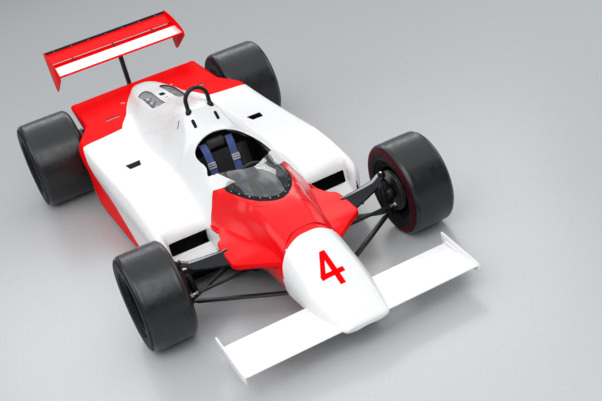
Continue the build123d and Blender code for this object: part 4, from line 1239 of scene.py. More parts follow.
k = Kit()
pts = [(x, 0.7412, 0.152 + (2.157 - x) * 0.06) for x in np.linspace(1.86, 2.12, 6)]
k.add(*domes(pts, [(0, 1, 0)] * 6, 0.0055, 0.0022, 10))
k.mirror()
wing_screws = k.obj("front_wing_screws", [HEAD])
piece(wing_screws, "chassis", "alloy")

# rear wing
k = Kit()
MAIN = foil((-1.759, 0.853), (-2.005, 0.905), 0.022, -0.012)
k.add(*wing(MAIN, -0.5475, 0.5475, 16))
rear_main = k.obj("rear_wing_main_plane", [RED, WHITE])
for poly in rear_main.data.polygons:  # straight light band along the front of the upper side
    c = poly.center
    if -1.945 < c.x < -1.785 and poly.normal.z > 0.2:
        poly.material_index = 1
piece(rear_main, "chassis", "red_paint", "rear_wing_main")

k = Kit()
FLAP = foil((-1.988, 0.919), (-2.176, 0.964), 0.014, -0.008)
k.add(*wing(FLAP, -0.5475, 0.5475, 10))
rear_flap = k.obj("rear_wing_flap_plane", [RED])
piece(rear_flap, "chassis", "red_paint", "rear_wing_flap")

k = Kit()
lipq = [(-2.170, 0.955), (-2.175, 0.955), (-2.1795, 0.980), (-2.1755, 0.981)]
k.add(*prism(lipq, 1, -0.546, 0.546))
k.add(*prism([(-2.164, 0.9625), (-2.176, 0.9660), (-2.1765, 0.9695), (-2.1645, 0.9650)], 1, -0.546, 0.546))
gurney = k.obj("rear_wing_lip", [BLACK])
piece(gurney, "chassis", "black_metal")
k = Kit()
ys = np.linspace(-0.465, 0.465, 7)
k.add(*domes([(-2.1690, y, 0.9668) for y in ys], [(0.2, 0, 1)] * len(ys), 0.0055, 0.0025, 10))
lip_rivets = k.obj("rear_wing_rivets", [HEAD])
piece(lip_rivets, "chassis", "alloy")

# slot brackets between main plane and flap
k = Kit()
for y in (-0.36, 0.0, 0.36):
    k.add(*prism(rounded([(-1.950, 0.882), (-2.045, 0.902), (-2.041, 0.926), (-1.990, 0.917), (-1.956, 0.902)], 0.004, 3), 1, y - 0.0025, y + 0.0025))
brackets = k.obj("rear_wing_slot_brackets", [BLACK])
piece(brackets, "chassis", "black_metal")

k = Kit()
REARPLATE = np.array([(-1.742, 0.838), (-1.742, 0.883), (-1.80, 0.912), (-1.95, 0.959), (-2.10, 0.985), (-2.178, 0.989), (-2.1835, 0.982), (-2.176, 0.93), (-2.158, 0.82), (-2.136, 0.70), (-2.122, 0.660), (-2.105, 0.651), (-2.085, 0.654), (-2.02, 0.686)])
plate = rounded(REARPLATE, 0.02, 4)
rows = []
for y, grow in ((0.5478, -0.0015), (0.5490, 0.0), (0.5548, 0.0), (0.5560, -0.0015)):
    c = plate.mean(0)
    q = c + (plate - c) * (1 + grow / 0.15)
    rows.append([(x, y, z) for x, z in q])
k.add(*loft(np.array(rows)))
k.mirror()
rear_plates = k.obj("rear_wing_plates", [RED], angle=40)
piece(rear_plates, "chassis", "red_paint", "rear_wing_endplates")

k = Kit()
s = np.linspace(0, 2 * math.pi, 28, endpoint=False)
sec = np.stack([0.030 * np.cos(s), 0.0195 * np.sin(s) * (1 - 0.15 * np.cos(s))], axis=1)
rows = []
for z, sx, sy in ((0.400, 1.0, 1.0), (0.60, 1.0, 1.0), (0.80, 1.0, 1.0), (0.835, 1.05, 1.15), (0.858, 1.15, 1.7)):
    rows.append([(-1.858 + x * sx, y * sy, z) for x, y in sec])
k.add(*loft(np.array(rows)))
k.add(*prism(rounded([(-1.90, -0.040), (-1.815, -0.040), (-1.815, 0.040), (-1.90, 0.040)], 0.012, 4), 2, 0.400, 0.409))
post = k.obj("rear_wing_pillar", [BLACK], angle=40)
piece(post, "chassis", "black_metal", "rear_wing_post")

# ------------------------------------------------------------------ roll hoop
k = Kit()
path = [(0.100, 0.080, 0.842), (0.100, 0.080, 0.90), (0.100, 0.080, 0.932)]
for a in np.linspace(0, math.pi, 33)[1:-1]:
    path.append((0.100, 0.080 * math.cos(a), 0.937 + 0.080 * math.sin(a)))
path += [(0.100, -0.080, 0.932), (0.100, -0.080, 0.90), (0.100, -0.080, 0.842)]
k.add(*tube(np.array(path), 0.0148, 24, up=(1, 0, 0)))
for s in (1, -1):
    k.add(*turn([(0.0, 0.0), (0.0, 0.0235), (0.018, 0.0232), (0.028, 0.0215), (0.036, 0.0185), (0.042, 0.0152), (0.042, 0.0)], (0.100, s * 0.080, 0.846), (0, 0, 1), 24, closed=False))
hoop = k.obj("roll_hoop_bar", [BLACK])
piece(hoop, "chassis", "black_metal", "roll_hoop")

# ------------------------------------------------------------------ windscreen
BASE = [(0.735, 0.182), (0.77, 0.186), (0.80, 0.189), (0.86, 0.196), (0.94, 0.195), (1.02, 0.181), (1.10, 0.160), (1.17, 0.128), (1.23, 0.088), (1.27, 0.045), (1.283, 0.0)]
BASE = np.array([(x, y, (hump_whole.z(x, y) if x < 0.842 else tub_point(x, y)[2]) - 0.002) for x, y in BASE])
TOP = np.array([(0.735, 0.176, 0.652), (0.765, 0.166, 0.664), (0.80, 0.150, 0.675), (0.835, 0.122, 0.684), (0.865, 0.095, 0.688), (0.893, 0.065, 0.690), (0.91, 0.045, 0.692), (0.92, 0.030, 0.694), (0.928, 0.018, 0.695), (0.933, 0.008, 0.696), (0.935, 0.0, 0.697)])
base = flow(np.concatenate([BASE, BASE[-2::-1] * np.array([1, -1, 1])]), 8)
top = flow(np.concatenate([TOP, TOP[-2::-1] * np.array([1, -1, 1])]), 8)
rows = []
for t in np.linspace(0, 1, 15):
    r = base * (1 - t) + top * t
    bulge = 0.022 * math.sin(math.pi * t)
    out = (base - np.array([0.90, 0, 0.40]))
    out /= np.linalg.norm(out, axis=1, keepdims=True)
    weight = np.linalg.norm(top - base, axis=1, keepdims=True) / 0.26
    rows.append(r + out * bulge * np.minimum(1, weight))
screen_p = np.array(rows)
k = Kit()
v, f, m = skin(screen_p, 0.0035, centre_z=0.40)
k.add(v, f, 0)
screen = k.obj("windscreen_shell", [SCREEN], angle=60)
piece(screen, "chassis", "screen", "windscreen")

k = Kit()
rows = []
out = base - np.array([0.90, 0, 0.40])
out[:, 2] = 0
out /= np.linalg.norm(out, axis=1, keepdims=True)
lay = base + out * 0.0055
lay[:, 2] = [(hump_whole.z(x, abs(y)) if x < 0.85 else tub_point(x, abs(y))[2]) + 0.0012 for x, y, _ in lay]
rows = [lay, base + out * 0.0035 + np.array([0, 0, 0.004])]
for t in (0.04, 0.08, 0.12):
    r = screen_p[0] * (1 - t) + screen_p[-1] * t
    i = t * 14
    lo, hi = int(i), min(14, int(i) + 1)
    r = screen_p[lo] * (1 - (i - lo)) + screen_p[hi] * (i - lo)
    rows.append(r + out * 0.0016)
v, f, m = skin(np.array(rows), 0.0022, centre_z=0.40)
k.add(v, f, 0)
band = k.obj("windscreen_base_band", [INSIDE], angle=60)
piece(band, "chassis", "black_panel")
k = Kit()
mid = rows[3]
sel = np.linspace(6, len(mid) - 7, 17).astype(int)
k.add(*domes([mid[i] for i in sel], [out[i] + np.array([0, 0, 0.35]) for i in sel], 0.0042, 0.0022, 10))
screen_rivets = k.obj("windscreen_rivets", [HEAD])
piece(screen_rivets, "chassis", "alloy")

# ------------------------------------------------------------------ seat, headrest, belts
SEAT_LINE = np.array([(0.262, 0.600), (0.285, 0.520), (0.320, 0.390), (0.360, 0.255), (0.405, 0.165), (0.47, 0.125), (0.56, 0.112), (0.66, 0.112), (0.76, 0.135), (0.862, 0.172)])
line = flow(SEAT_LINE, 6)
tan = np.gradient(line, axis=0)
tan /= np.linalg.norm(tan, axis=1, keepdims=True)
up = np.stack([tan[:, 1] * -1, tan[:, 0]], axis=1)
up *= np.sign(up[:, 1:2] * 0.4 + up[:, :1])
rows = []
for (x, z), (ux, uz) in zip(line, up):
    r = []
    for t in np.linspace(-1, 1, 25):
        b = 0.070 * abs(t) ** 3.2
        r.append((x + ux * b, 0.182 * math.sin(t * 1.35) / math.sin(1.35), z + uz * b))
    rows.append(r)
k = Kit()
v, f, m = skin(np.array(rows), 0.006, centre_z=0.9)
k.add(v, f, 0)
seat = k.obj("seat_shell", [SEAT_BLACK], angle=50)
piece(seat, "chassis", "pad", "seat")


def pillow(name, x0, x1, y0, y1, z0, z1, mat, puff=0.006):
    """Small stuffed pad: a rounded block swollen by a short cloth run."""
    k = Kit()
    rows = []
    n = 9
    for i, x in enumerate(np.linspace(x0 + 0.006, x1 - 0.006, n)):
        e = abs(i / (n - 1) * 2 - 1) ** 4 * 0.010
        q = rounded([(y0 + e + 0.004, z0 + e + 0.004), (y1 - e - 0.004, z0 + e + 0.004), (y1 - e - 0.004, z1 - e - 0.004), (y0 + e + 0.004, z1 - e - 0.004)], 0.016, 5)
        rows.append([(x, y, z) for y, z in q])
    k.add(*loft(np.array(rows)))
    o = k.obj(name, [mat])
    mod = o.modifiers.new("grid", "REMESH")
    mod.mode, mod.voxel_size = "VOXEL", 0.0045
    bake(o)
    rest = np.zeros(len(o.data.vertices) * 3)
    o.data.vertices.foreach_get("co", rest)
    rest = rest.reshape(-1, 3)
    mod = o.modifiers.new("stuffing", "CLOTH")
    st = mod.settings
    st.quality, st.use_pressure, st.uniform_pressure_force = 6, True, 4.0
    st.effector_weights.gravity = 0.0
    st.tension_stiffness = st.compression_stiffness = 20.0
    mod.point_cache.frame_start, mod.point_cache.frame_end = 1, 20
    for i in range(1, 21):
        scene.frame_set(i)
    bake(o)
    scene.frame_set(1)
    co = np.zeros(len(o.data.vertices) * 3)
    o.data.vertices.foreach_get("co", co)
    co = co.reshape(-1, 3)
    d = co - rest
    length = np.linalg.norm(d, axis=1, keepdims=True)
    co = rest + d * np.minimum(1, puff / np.maximum(length, 1e-9))
    lo, hi = np.array([x0, y0, z0]), np.array([x1, y1, z1])
    co = np.clip(co, lo, hi)
    o.data.vertices.foreach_set("co", co.ravel())
    mod = o.modifiers.new("fine", "SUBSURF")
    mod.levels = mod.render_levels = 1
    bake(o)
    o.data.materials.clear()
    o.data.materials.append(mat)
    smooth(o, 80)
    return o


pad = pillow("headrest_pad", 0.214, 0.268, -0.070, 0.070, 0.612, 0.690, PAD)
piece(pad, "chassis", "pad", "headrest")

k = Kit()
BELT_LINE = np.array([(0.222, 0.668), (0.248, 0.664), (0.270, 0.640), (0.292, 0.580), (0.318, 0.480), (0.352, 0.360), (0.392, 0.250), (0.43, 0.180)])
bl = flow(BELT_LINE, 8)
for s in (1, -1):
    rows = []
    for i, (x, z) in enumerate(bl):
        t = i / (len(bl) - 1)
        yc = 0.098 - 0.020 * t
        rows.append([(x + 0.012 + 0.0012 * math.sin(w * 9 + i * 0.4), s * yc + w, z + 0.002) for w in np.linspace(-0.025, 0.025, 9)])
    v, f, m = skin(np.array(rows), 0.0028, centre_z=0.0)
    k.add(v, f, 0)
    # adjuster buckle over the webbing
    j = int(len(bl) * 0.46)
    (xa, za), (xb, zb) = bl[j], bl[j + 6]
    d = np.array([xb - xa, 0, zb - za])
    d /= np.linalg.norm(d)
    n = np.array([-d[2], 0, d[0]]) * (1 if -d[2] > 0 else -1)
    yc = 0.098 - 0.020 * j / (len(bl) - 1)
    c = np.array([xa + 0.014, s * yc, za + 0.002]) + n * 0.003
    for a0, a1, w, h in ((0.0, 0.009, 0.0275, 0.006), (0.016, 0.025, 0.0275, 0.006), (0.033, 0.042, 0.0275, 0.006)):
        pts = []
        for aa, yy in ((a0, -w), (a1, -w), (a1, w), (a0, w)):
            pts.append(c + d * aa + np.array([0, yy, 0]))
        pts = np.array(pts)
        k.add(*loft(np.stack([pts, pts + n * h])), 1)
    for yy in (-0.0275, 0.0235):
        pts = np.array([c + d * aa + np.array([0, w, 0]) for aa, w in ((0.0, yy), (0.042, yy), (0.042, yy + 0.004), (0.0, yy + 0.004))])
        k.add(*loft(np.stack([pts, pts + n * 0.006])), 1)
belts = k.obj("shoulder_belt_webbing", [WEB, black_satin("buckle_satin", (0.66, 0.67, 0.69), 0.35)], angle=40)
piece(belts, "chassis", "belt", "shoulder_belts")

# ------------------------------------------------------------------ front suspension
k = Kit()
rows = []
# y, then (x, z) of the rear ridge, the front of the bright edge strip (its light steel is a painted highlight) and the
# front low edge, then depth behind and in front
for y, ridge, strip, low, d0, d1 in (
    (0.392, (1.226, 0.4045), (1.229, 0.4030), (1.347, 0.3560), 0.030, 0.014),
    (0.430, (1.2315, 0.4015), (1.2350, 0.4000), (1.338, 0.3580), 0.030, 0.014),
    (0.550, (1.213, 0.4085), (1.2270, 0.4020), (1.290, 0.3680), 0.030, 0.014),
    (0.630, (1.201, 0.4150), (1.2200, 0.4060), (1.262, 0.3820), 0.030, 0.014),
    (0.668, (1.199, 0.4360), (1.2220, 0.4300), (1.256, 0.4180), 0.022, 0.008),
    (0.692, (1.200, 0.4470), (1.2230, 0.4450), (1.254, 0.4290), 0.030, 0.014),
):
    q = [(ridge[0], ridge[1] - d0), (low[0] - 0.004, low[1] - d1), low, strip, ridge]
    rows.append([(x, y, z) for x, z in q])
v, f = loft(np.array(rows))
# the narrow top strip between the bright edge and the ridge takes the light steel, a painted highlight
faces = [1 if i % 5 == 3 and i < 25 else 0 for i in range(len(f))]
k.add(v, f, faces)
k.add(*turn([(-0.014, 0.0092), (-0.014, 0.0225), (-0.010, 0.0242), (0.016, 0.0242), (0.020, 0.0225), (0.020, 0.0092)], (1.222, 0.700, 0.432), (0, 0, 1), 28), 0)
k.add(*hexes([(1.222, 0.700, 0.4525)], [(0, 0, 1)], 0.012, 0.010), 1)
k.add(*tube([(1.220, 0.400, 0.394), (1.206, 0.540, 0.402), (1.193, 0.640, 0.410)], 0.004, 10), 2)
k.mirror()
rockers = k.obj("front_rocker_pair", [GUNMETAL, STRIP_STEEL_PAINTED_HIGHLIGHT, BLACK], angle=25)
piece(rockers, "chassis", "steel", "front_rocker_arms")


def strut(kit, a, b, r, eye=0.018, squash=(1.0, 1.0), m=0):
    """Tube with necked ends from a to b; eye is not used."""
    a, b = np.asarray(a, float), np.asarray(b, float)
    d = b - a
    n = np.linalg.norm(d)
    u = d / n
    t = np.array([0, 0.03, 0.06, 0.5, 0.90, 0.935, 0.955, 0.99])
    rr = np.array([r * 0.65, r * 0.7, r, r, r, r * 0.72, r * 0.62, r * 0.6])
    kit.add(*tube(np.array([a + d * s for s in t]), rr, 18, up=(0, 0, 1), squash=squash), m)


k = Kit()
strut(k, (1.600, 0.190, 0.165), (1.222, 0.700, 0.170), 0.0135, squash=(0.75, 1.5))
strut(k, (0.952, 0.312, 0.155), (1.222, 0.700, 0.170), 0.0135, squash=(0.75, 1.5))
k.add(*turn([(-0.018, 0.0092), (-0.018, 0.0225), (-0.014, 0.0242), (0.014, 0.0242), (0.018, 0.0225), (0.018, 0.0092)], (1.222, 0.700, 0.170), (0, 0, 1), 28))
k.add(*tube([(1.575, 0.185, 0.165), (1.61, 0.185, 0.165)], 0.016, 16))
k.mirror()
wishbones = k.obj("front_lower_arm_pair", [BLACK], angle=40)
piece(wishbones, "chassis", "black_metal", "front_lower_wishbones")

for side, name in ((1, "left"), (-1, "right")):
    k = Kit()
    # cast upright: a waisted post with flanges
    rows = []
    for z, hx, y0, y1 in ((0.194, 0.026, 0.684, 0.716), (0.215, 0.034, 0.682, 0.722), (0.260, 0.046, 0.680, 0.728), (0.303, 0.052, 0.680, 0.730), (0.345, 0.046, 0.680, 0.728), (0.385, 0.034, 0.682, 0.722), (0.404, 0.026, 0.684, 0.716)):
        q = rounded([(1.222 - hx, y0), (1.222 + hx, y0), (1.222 + hx, y1), (1.222 - hx, y1)], 0.010, 4)
        rows.append([(x, y, z) for x, y in q])
    k.add(*loft(np.array(rows)))
    k.add(*turn([(0.692, 0.0), (0.692, 0.055), (0.700, 0.061), (0.726, 0.061), (0.734, 0.052), (0.734, 0.027), (0.890, 0.0258), (0.900, 0.020), (0.903, 0.0)], (1.222, 0, 0.303), (0, 1, 0), 40, closed=False))
    k.add(*tube([(1.222, 0.700, 0.152), (1.222, 0.700, 0.452)], 0.0088, 16))
    # steering arm
    arm = [(1.225, 0.700, 0.240), (1.27, 0.700, 0.241), (1.332, 0.700, 0.240)]
    k.add(*tube(flow(np.array(arm), 4), 0.0125, 14, up=(0, 0, 1), squash=(0.62, 1.1)))
    k.add(*turn([(0, 0), (0, 0.016), (0.014, 0.016), (0.014, 0)], (1.332, 0.700, 0.233), (0, 0, 1), 20, closed=False))
    # brake duct: flat scoop that faces forward
    duct = flow(np.array([(1.238, 0.672, 0.352), (1.246, 0.667, 0.330), (1.254, 0.662, 0.298), (1.260, 0.658, 0.262), (1.264, 0.656, 0.222)]), 6)
    w = np.interp(np.linspace(0, 1, len(duct)), [0, 0.25, 0.7, 0.95, 1], [0.030, 0.038, 0.038, 0.036, 0.032])
    k.add(*tube(duct, w, 20, up=(0, 1, 0), squash=(0.58, 1.0)), 1)
    # caliper behind the disc
    cal = []
    for a in np.linspace(2.65, 3.63, 9):
        cal.append((math.cos(a), math.sin(a)))
    prof = np.array([(r * c, r * s) for r, pts in ((0.142, cal), (0.092, cal[::-1])) for c, s in pts])
    for y0, y1 in ((0.7365, 0.7445), (0.7735, 0.7815)):
        q = [(1.222 + a, 0.303 + b) for a, b in prof]
        k.add(*prism(q, 1, y0, y1), 2)
    outer = np.array([(r * c, r * s) for r, pts in ((0.1475, cal), (0.1355, cal[::-1])) for c, s in pts])
    k.add(*prism([(1.222 + a, 0.303 + b) for a, b in outer], 1, 0.7370, 0.7810), 2)
    k.add(*tube([(1.18, 0.712, 0.300), (1.105, 0.735, 0.300)], 0.012, 12), 0)
    if side < 0:
        k.flipped()
    up_obj = k.obj(f"front_upright_{name}_cast", [BLACK, INSIDE, ALLOY], angle=38)
    piece(up_obj, f"knuckle_{name}", "black_metal", f"front_upright_{name}")

k = Kit()
X = 1.332
k.add(*tube([(X, -0.300, 0.268), (X, 0.300, 0.268)], 0.0088, 18))
for s in (1, -1):
    k.add(*tube([(X, s * 0.300, 0.268), (X, s * 0.318, 0.268), (X, s * 0.655, 0.268), (X, s * 0.672, 0.268)], [0.0088, 0.0115, 0.0115, 0.0075], 18))
    k.add(*tube([(X, s * 0.668, 0.268), (X, s * 0.690, 0.268)], 0.0070, 14), 1)
    k.add(*turn([(-0.011, 0.0), (-0.011, 0.011), (-0.006, 0.0148), (0.006, 0.0148), (0.011, 0.011), (0.012, 0.0)], (X, s * 0.700, 0.268), (0, 0, 1), 24, closed=False), 1)
    k.add(*hexes([(X, s * 0.662, 0.268)], [(0, s, 0)], 0.0125, 0.009), 1)
rack = k.obj("steering_rack_rods", [BLACK, STEEL], angle=40)
piece(rack, "rack", "black_metal", "steering_rack")

# ------------------------------------------------------------------ steering wheel
COLUMN = np.array([1.340, 0.0, 0.463])
CENTRE = np.array([0.855, 0.0, 0.593])
axis = CENTRE - COLUMN
axis /= np.linalg.norm(axis)
e_y = np.array([0.0, 1.0, 0.0])
e_u = np.cross(axis, e_y)
if e_u[2] < 0:
    e_u = -e_u
k = Kit()
ang = np.linspace(0, 2 * math.pi, 96, endpoint=False)
ring = np.array([CENTRE + 0.105 * (math.cos(a) * e_y + math.sin(a) * e_u) for a in ang])
k.add(*hoop_tube(ring, 0.0120, 16), 1)
for a in (0.0, math.pi, -math.pi / 2):
    d = math.cos(a) * e_y + math.sin(a) * e_u
    side = np.cross(axis, d)
    q0, q1 = CENTRE + d * 0.026, CENTRE + d * 0.100
    pts = lambda o, w: np.array([q0 + side * 0.020 + o, q1 + side * w + o, q1 - side * w + o, q0 - side * 0.020 + o])
    k.add(*loft(np.stack([pts(axis * 0.0025, 0.013), pts(-axis * 0.0025, 0.013)])), 0)
k.add(*turn([(-0.010, 0.0), (-0.010, 0.030), (-0.004, 0.034), (0.006, 0.034), (0.012, 0.028), (0.014, 0.0)], CENTRE, axis, 40, closed=False), 0)
k.add(*tube([COLUMN, COLUMN + (CENTRE - COLUMN) * 0.5, CENTRE], 0.0118, 18), 0)
k.add(*hexes([CENTRE + axis * 0.013 + 0.020 * (math.cos(a) * e_y + math.sin(a) * e_u) for a in np.linspace(0, 2 * math.pi, 6, endpoint=False)], [axis] * 6, 0.0038, 0.0035), 2)
hand = k.obj("steering_wheel_rim", [BLACK, GRIP, HEAD], angle=40)
piece(hand, "hand_wheel", "grip", "steering_wheel")

# ------------------------------------------------------------------ wheels
# name, body, x, y, z, tyre radius, half width, shoulder, rim half width, flange radius
WHEELS = [
    ("front_left", 1.222, 0.8835, 0.303, 0.303, 0.1475, 0.040, 0.127, 0.182, -0.138, 0.008),
    ("front_right", 1.222, -0.8835, 0.303, 0.303, 0.1475, 0.040, 0.127, 0.182, -0.138, 0.008),
    ("rear_left", -1.445, 0.832, 0.341, 0.341, 0.210, 0.052, 0.188, 0.198, -0.150, 0.010),
    ("rear_right", -1.445, -0.832, 0.341, 0.341, 0.210, 0.052, 0.188, 0.198, -0.150, 0.010),
]
for name, wx, wy, wz, R, half_w, sh, rim_h, fl, hub_in, hub_out in WHEELS:
    s = 1 if wy > 0 else -1
    front = wx > 0
    y0 = abs(wy)
    # tyre outline from the outer bead round the tread to the inner bead, then back inside
    pts, mats = [], []

    def put(a, r, m):
        pts.append((a, r))
        mats.append(m)

    bead = rim_h - 0.012
    side_line = [(bead, 0.168, 1), (bead + 0.001, fl - 0.004, 1), (bead + 0.006, fl + 0.003, 1), (bead + 0.012, fl + 0.0075, 1), (bead + 0.0155, fl + 0.014, 1), (bead + 0.0150, fl + 0.019, 1), (half_w - 0.0085, fl + 0.024, 1), (half_w - 0.0045, fl + 0.030, 1)]
    lo_r = fl + 0.030
    hi_r = R - sh
    for t in np.linspace(0.15, 1, 7):
        side_line.append((half_w - 0.0045 * (1 - t) ** 2, lo_r + (hi_r - lo_r) * t, 1))
    for a in np.linspace(0, math.pi / 2, 12)[1:]:
        side_line.append((half_w - sh + sh * math.cos(a) ** 1.0, R - sh + sh * math.sin(a) - (0.0012 if a > 1.5 else 0.0), 1 if a < 0.75 else 0))
    outer = side_line
    for a, r, m in outer:
        put(a, r, m)
    for t in np.linspace(0, 1, 13)[1:-1]:
        a = (half_w - sh) * (1 - 2 * t)
        put(a, R - 0.0012 * (1 - 2 * t) ** 2 * 1.0 * abs(1 - 2 * t), 0)
    for a, r, m in reversed(outer):
        put(-a, r, m)
    # face k runs from point k to k+1
    seg_m = []
    for i in range(len(pts)):
        a, r = pts[i]
        b, q = pts[(i + 1) % len(pts)]
        mm = min(mats[i], mats[(i + 1) % len(pts)])
        rc, ac = (r + q) / 2, (a + b) / 2
        # band near the inboard shoulder of the front tyres takes the painted red reflection of the bodywork
        if front and ac < -half_w + 0.03 and R - 0.050 < rc < R - 0.026:
            mm = 2
        seg_m.append(mm)
    k = Kit()
    k.add(*turn(pts, (wx, y0, wz), (0, 1, 0), 128, mats=seg_m))
    if s < 0:
        k.flipped()
    tyre = k.obj(f"tyre_{name}_carcass", [TREAD, SIDEWALL, RED_REFLECTION_RING], angle=40)
    piece(tyre, f"wheel_{name}", "tyre", f"tyre_{name}")

    # rim: lipped barrel, dished centre with holes, hub and nut
    k = Kit()
    b = rim_h
    prof = [(b, fl), (b + 0.0, fl - 0.004), (b - 0.004, fl - 0.008), (b - 0.007, fl - 0.014), (b - 0.010, 0.158), (b - 0.030, 0.1545), (0.020, 0.1525), (-b + 0.030, 0.1545), (-b + 0.010, 0.158), (-b + 0.007, fl - 0.014), (-b + 0.004, fl - 0.008), (-b, fl - 0.004), (-b, fl), (-b + 0.004, fl + 0.0004), (-bead, fl - 0.001), (-bead, 0.1665), (bead, 0.1665), (bead, fl - 0.001), (b - 0.004, fl + 0.0004)]
    lip = [1 if i == 0 else 0 for i in range(19)]
    k.add(*turn(prof, (wx, y0, wz), (0, 1, 0), 96, mats=lip))
    rim_o = k.obj(f"rim_{name}_wheel", [WHEEL_BLACK, ALLOY, HEAD], angle=32)
    # centre
    d_in, d_out = (-0.034, -0.014) if front else (-0.034, -0.010)
    k = Kit()
    c_prof = [(d_in + 0.002, 0.030), (d_in, 0.060), (d_in, 0.150), (d_in + 0.004, 0.1535), (d_out - 0.002, 0.1535), (d_out, 0.150), (d_out - 0.004, 0.134), (d_out - 0.004, 0.076), (d_out + 0.002, 0.062), (hub_out, 0.048), (hub_out, 0.030)]
    k.add(*turn(c_prof, (wx, y0, wz), (0, 1, 0), 96))
    web = k.obj("web", [WHEEL_BLACK, ALLOY, HEAD])
    k = Kit()
    for h in range(8):
        a = math.radians(45 * h + 22.5)
        q = []
        for t in np.linspace(0, 2 * math.pi, 24, endpoint=False):
            rr = 0.102 + 0.024 * math.cos(t)
            aa = a + (0.030 * math.sin(t)) / 0.102
            q.append((wx + rr * math.cos(aa), wz + rr * math.sin(aa)))
        k.add(*prism(q, 1, y0 - 0.10, y0 + 0.10))
    carve(web, [k.obj("holes", [])], 32)
    k = Kit()
    k.add(*turn([(hub_in, 0.0265 if front else 0.0305), (hub_in, 0.044), (hub_in + 0.006, 0.046), (d_in, 0.046), (d_in, 0.0265 if front else 0.0305)], (wx, y0, wz), (0, 1, 0), 40))
    # centre nut and drive pegs
    k.add(*turn([(hub_out - 0.002, 0.0265 if front else 0.012), (hub_out - 0.002, 0.040), (hub_out + 0.004, 0.041), (hub_out + 0.006, 0.036), (hub_out + 0.024, 0.034), (hub_out + 0.028, 0.030), (hub_out + 0.028, 0.0265 if front else 0.012)], (wx, y0, wz), (0, 1, 0), 6), 1)
    for h in range(6):
        a = math.radians(60 * h)
        k.add(*turn([(d_out - 0.004, 0.0), (d_out - 0.004, 0.0075), (d_out + 0.006, 0.0075), (d_out + 0.008, 0.005), (d_out + 0.008, 0.0)], (wx + 0.062 * math.cos(a), y0, wz + 0.062 * math.sin(a)), (0, 1, 0), 12, closed=False), 2)
    ring_pts = [(wx + 0.1425 * math.cos(a), y0 + d_out - 0.001, wz + 0.1425 * math.sin(a)) for a in np.linspace(0, 2 * math.pi, 24, endpoint=False)]
    k.add(*domes(ring_pts, [(0, 1, 0)] * 24, 0.0042, 0.004, 6), 2)
    bits = k.obj("bits", [WHEEL_BLACK, ALLOY, HEAD], angle=32)
    for extra in (web, bits):
        bm = bmesh.new()
        bm.from_mesh(rim_o.data)
        bm.from_mesh(extra.data)
        bm.to_mesh(rim_o.data)
        bm.free()
        drop(extra)
    if s < 0:
        rim_o.data.transform(Matrix.Scale(-1, 4, Vector((0, 1, 0))))
        rim_o.data.flip_normals()
    smooth(rim_o, 32)
    piece(rim_o, f"wheel_{name}", "wheel_black", f"rim_{name}")

# front discs: two faces with cooling vanes between, on a bell
for side, name in ((1, "left"), (-1, "right")):
    k = Kit()
    for y0, y1 in ((0.748, 0.7555), (0.7625, 0.770)):
        k.add(*turn([(y0, 0.082), (y0, 0.1305), (y0 + 0.001, 0.1318), (y1 - 0.001, 0.1318), (y1, 0.1305), (y1, 0.082)], (1.222, 0, 0.303), (0, 1, 0), 72))
    for h in range(40):
        a = 2 * math.pi * h / 40
        c, s2 = math.cos(a), math.sin(a)
        w = np.array([-s2, c]) * 0.0022
        q = [np.array([c, s2]) * 0.084 + w, np.array([c, s2]) * 0.130 + w, np.array([c, s2]) * 0.130 - w, np.array([c, s2]) * 0.084 - w]
        k.add(*prism([(1.222 + p[0], 0.303 + p[1]) for p in q], 1, 0.7553, 0.7627))
    k.add(*turn([(0.750, 0.047), (0.750, 0.090), (0.754, 0.094), (0.765, 0.094), (0.765, 0.090), (0.757, 0.086), (0.757, 0.047)], (1.222, 0, 0.303), (0, 1, 0), 56))
    if side < 0:
        k.flipped()
    disc = k.obj(f"front_disc_{name}_vented", [DISC], angle=35)
    piece(disc, f"wheel_front_{name}", "disc", f"brake_disc_front_{name}")

# ------------------------------------------------------------------ rear end
for side, name in ((1, "left"), (-1, "right")):
    k = Kit()
    prof = [(0.062, 0.0), (0.062, 0.0295), (0.088, 0.0295), (0.132, 0.0295), (0.136, 0.044), (0.150, 0.046), (0.158, 0.042), (0.165, 0.036)]
    for i in range(5):
        y = 0.172 + i * 0.012
        prof += [(y, 0.034 - i * 0.0025), (y + 0.006, 0.027 - i * 0.002)]
    prof += [(0.236, 0.017), (0.450, 0.017)]
    for i in range(5):
        y = 0.456 + i * 0.012
        prof += [(y, 0.024 + i * 0.0022), (y + 0.006, 0.019 + i * 0.002)]
    prof += [(0.520, 0.036), (0.530, 0.044), (0.545, 0.044), (0.549, 0.0295), (0.700, 0.0295), (0.838, 0.0290), (0.842, 0.026), (0.842, 0.0)]
    k.add(*turn(prof, (-1.445, 0, 0.341), (0, 1, 0), 40, closed=False))
    if side < 0:
        k.flipped()
    shaft = k.obj(f"driveshaft_{name}_boots", [STEEL], angle=30)
    piece(shaft, f"wheel_rear_{name}", "steel", f"driveshaft_{name}")

k = Kit()
rows = []
for z, hx, y0, y1 in ((0.192, 0.024, 0.562, 0.600), (0.215, 0.034, 0.561, 0.602), (0.28, 0.048, 0.560, 0.604), (0.341, 0.062, 0.560, 0.604), (0.40, 0.048, 0.560, 0.604), (0.465, 0.036, 0.561, 0.602), (0.491, 0.028, 0.562, 0.600)):
    q = rounded([(-1.445 - hx, y0), (-1.445 + hx, y0), (-1.445 + hx, y1), (-1.445 - hx, y1)], 0.010, 4)
    rows.append([(x, y, z) for x, y in q])
k.add(*loft(np.array(rows)))
ups = k.obj("ups", [CAST])
ups_cut = Kit()
ups_cut.add(*turn([(0.50, 0.0), (0.50, 0.0305), (0.70, 0.0305), (0.70, 0.0)], (-1.445, 0, 0.341), (0, 1, 0), 40, closed=False))
carve(ups, [ups_cut.obj("tool", [])])
k = Kit()
me = ups.data
k.add(np.array([v.co for v in me.vertices]), [tuple(p.vertices) for p in me.polygons])
drop(ups)
k.add(*turn([(0.552, 0.031), (0.552, 0.064), (0.556, 0.069), (0.640, 0.069), (0.644, 0.064), (0.644, 0.031)], (-1.445, 0, 0.341), (0, 1, 0), 48))
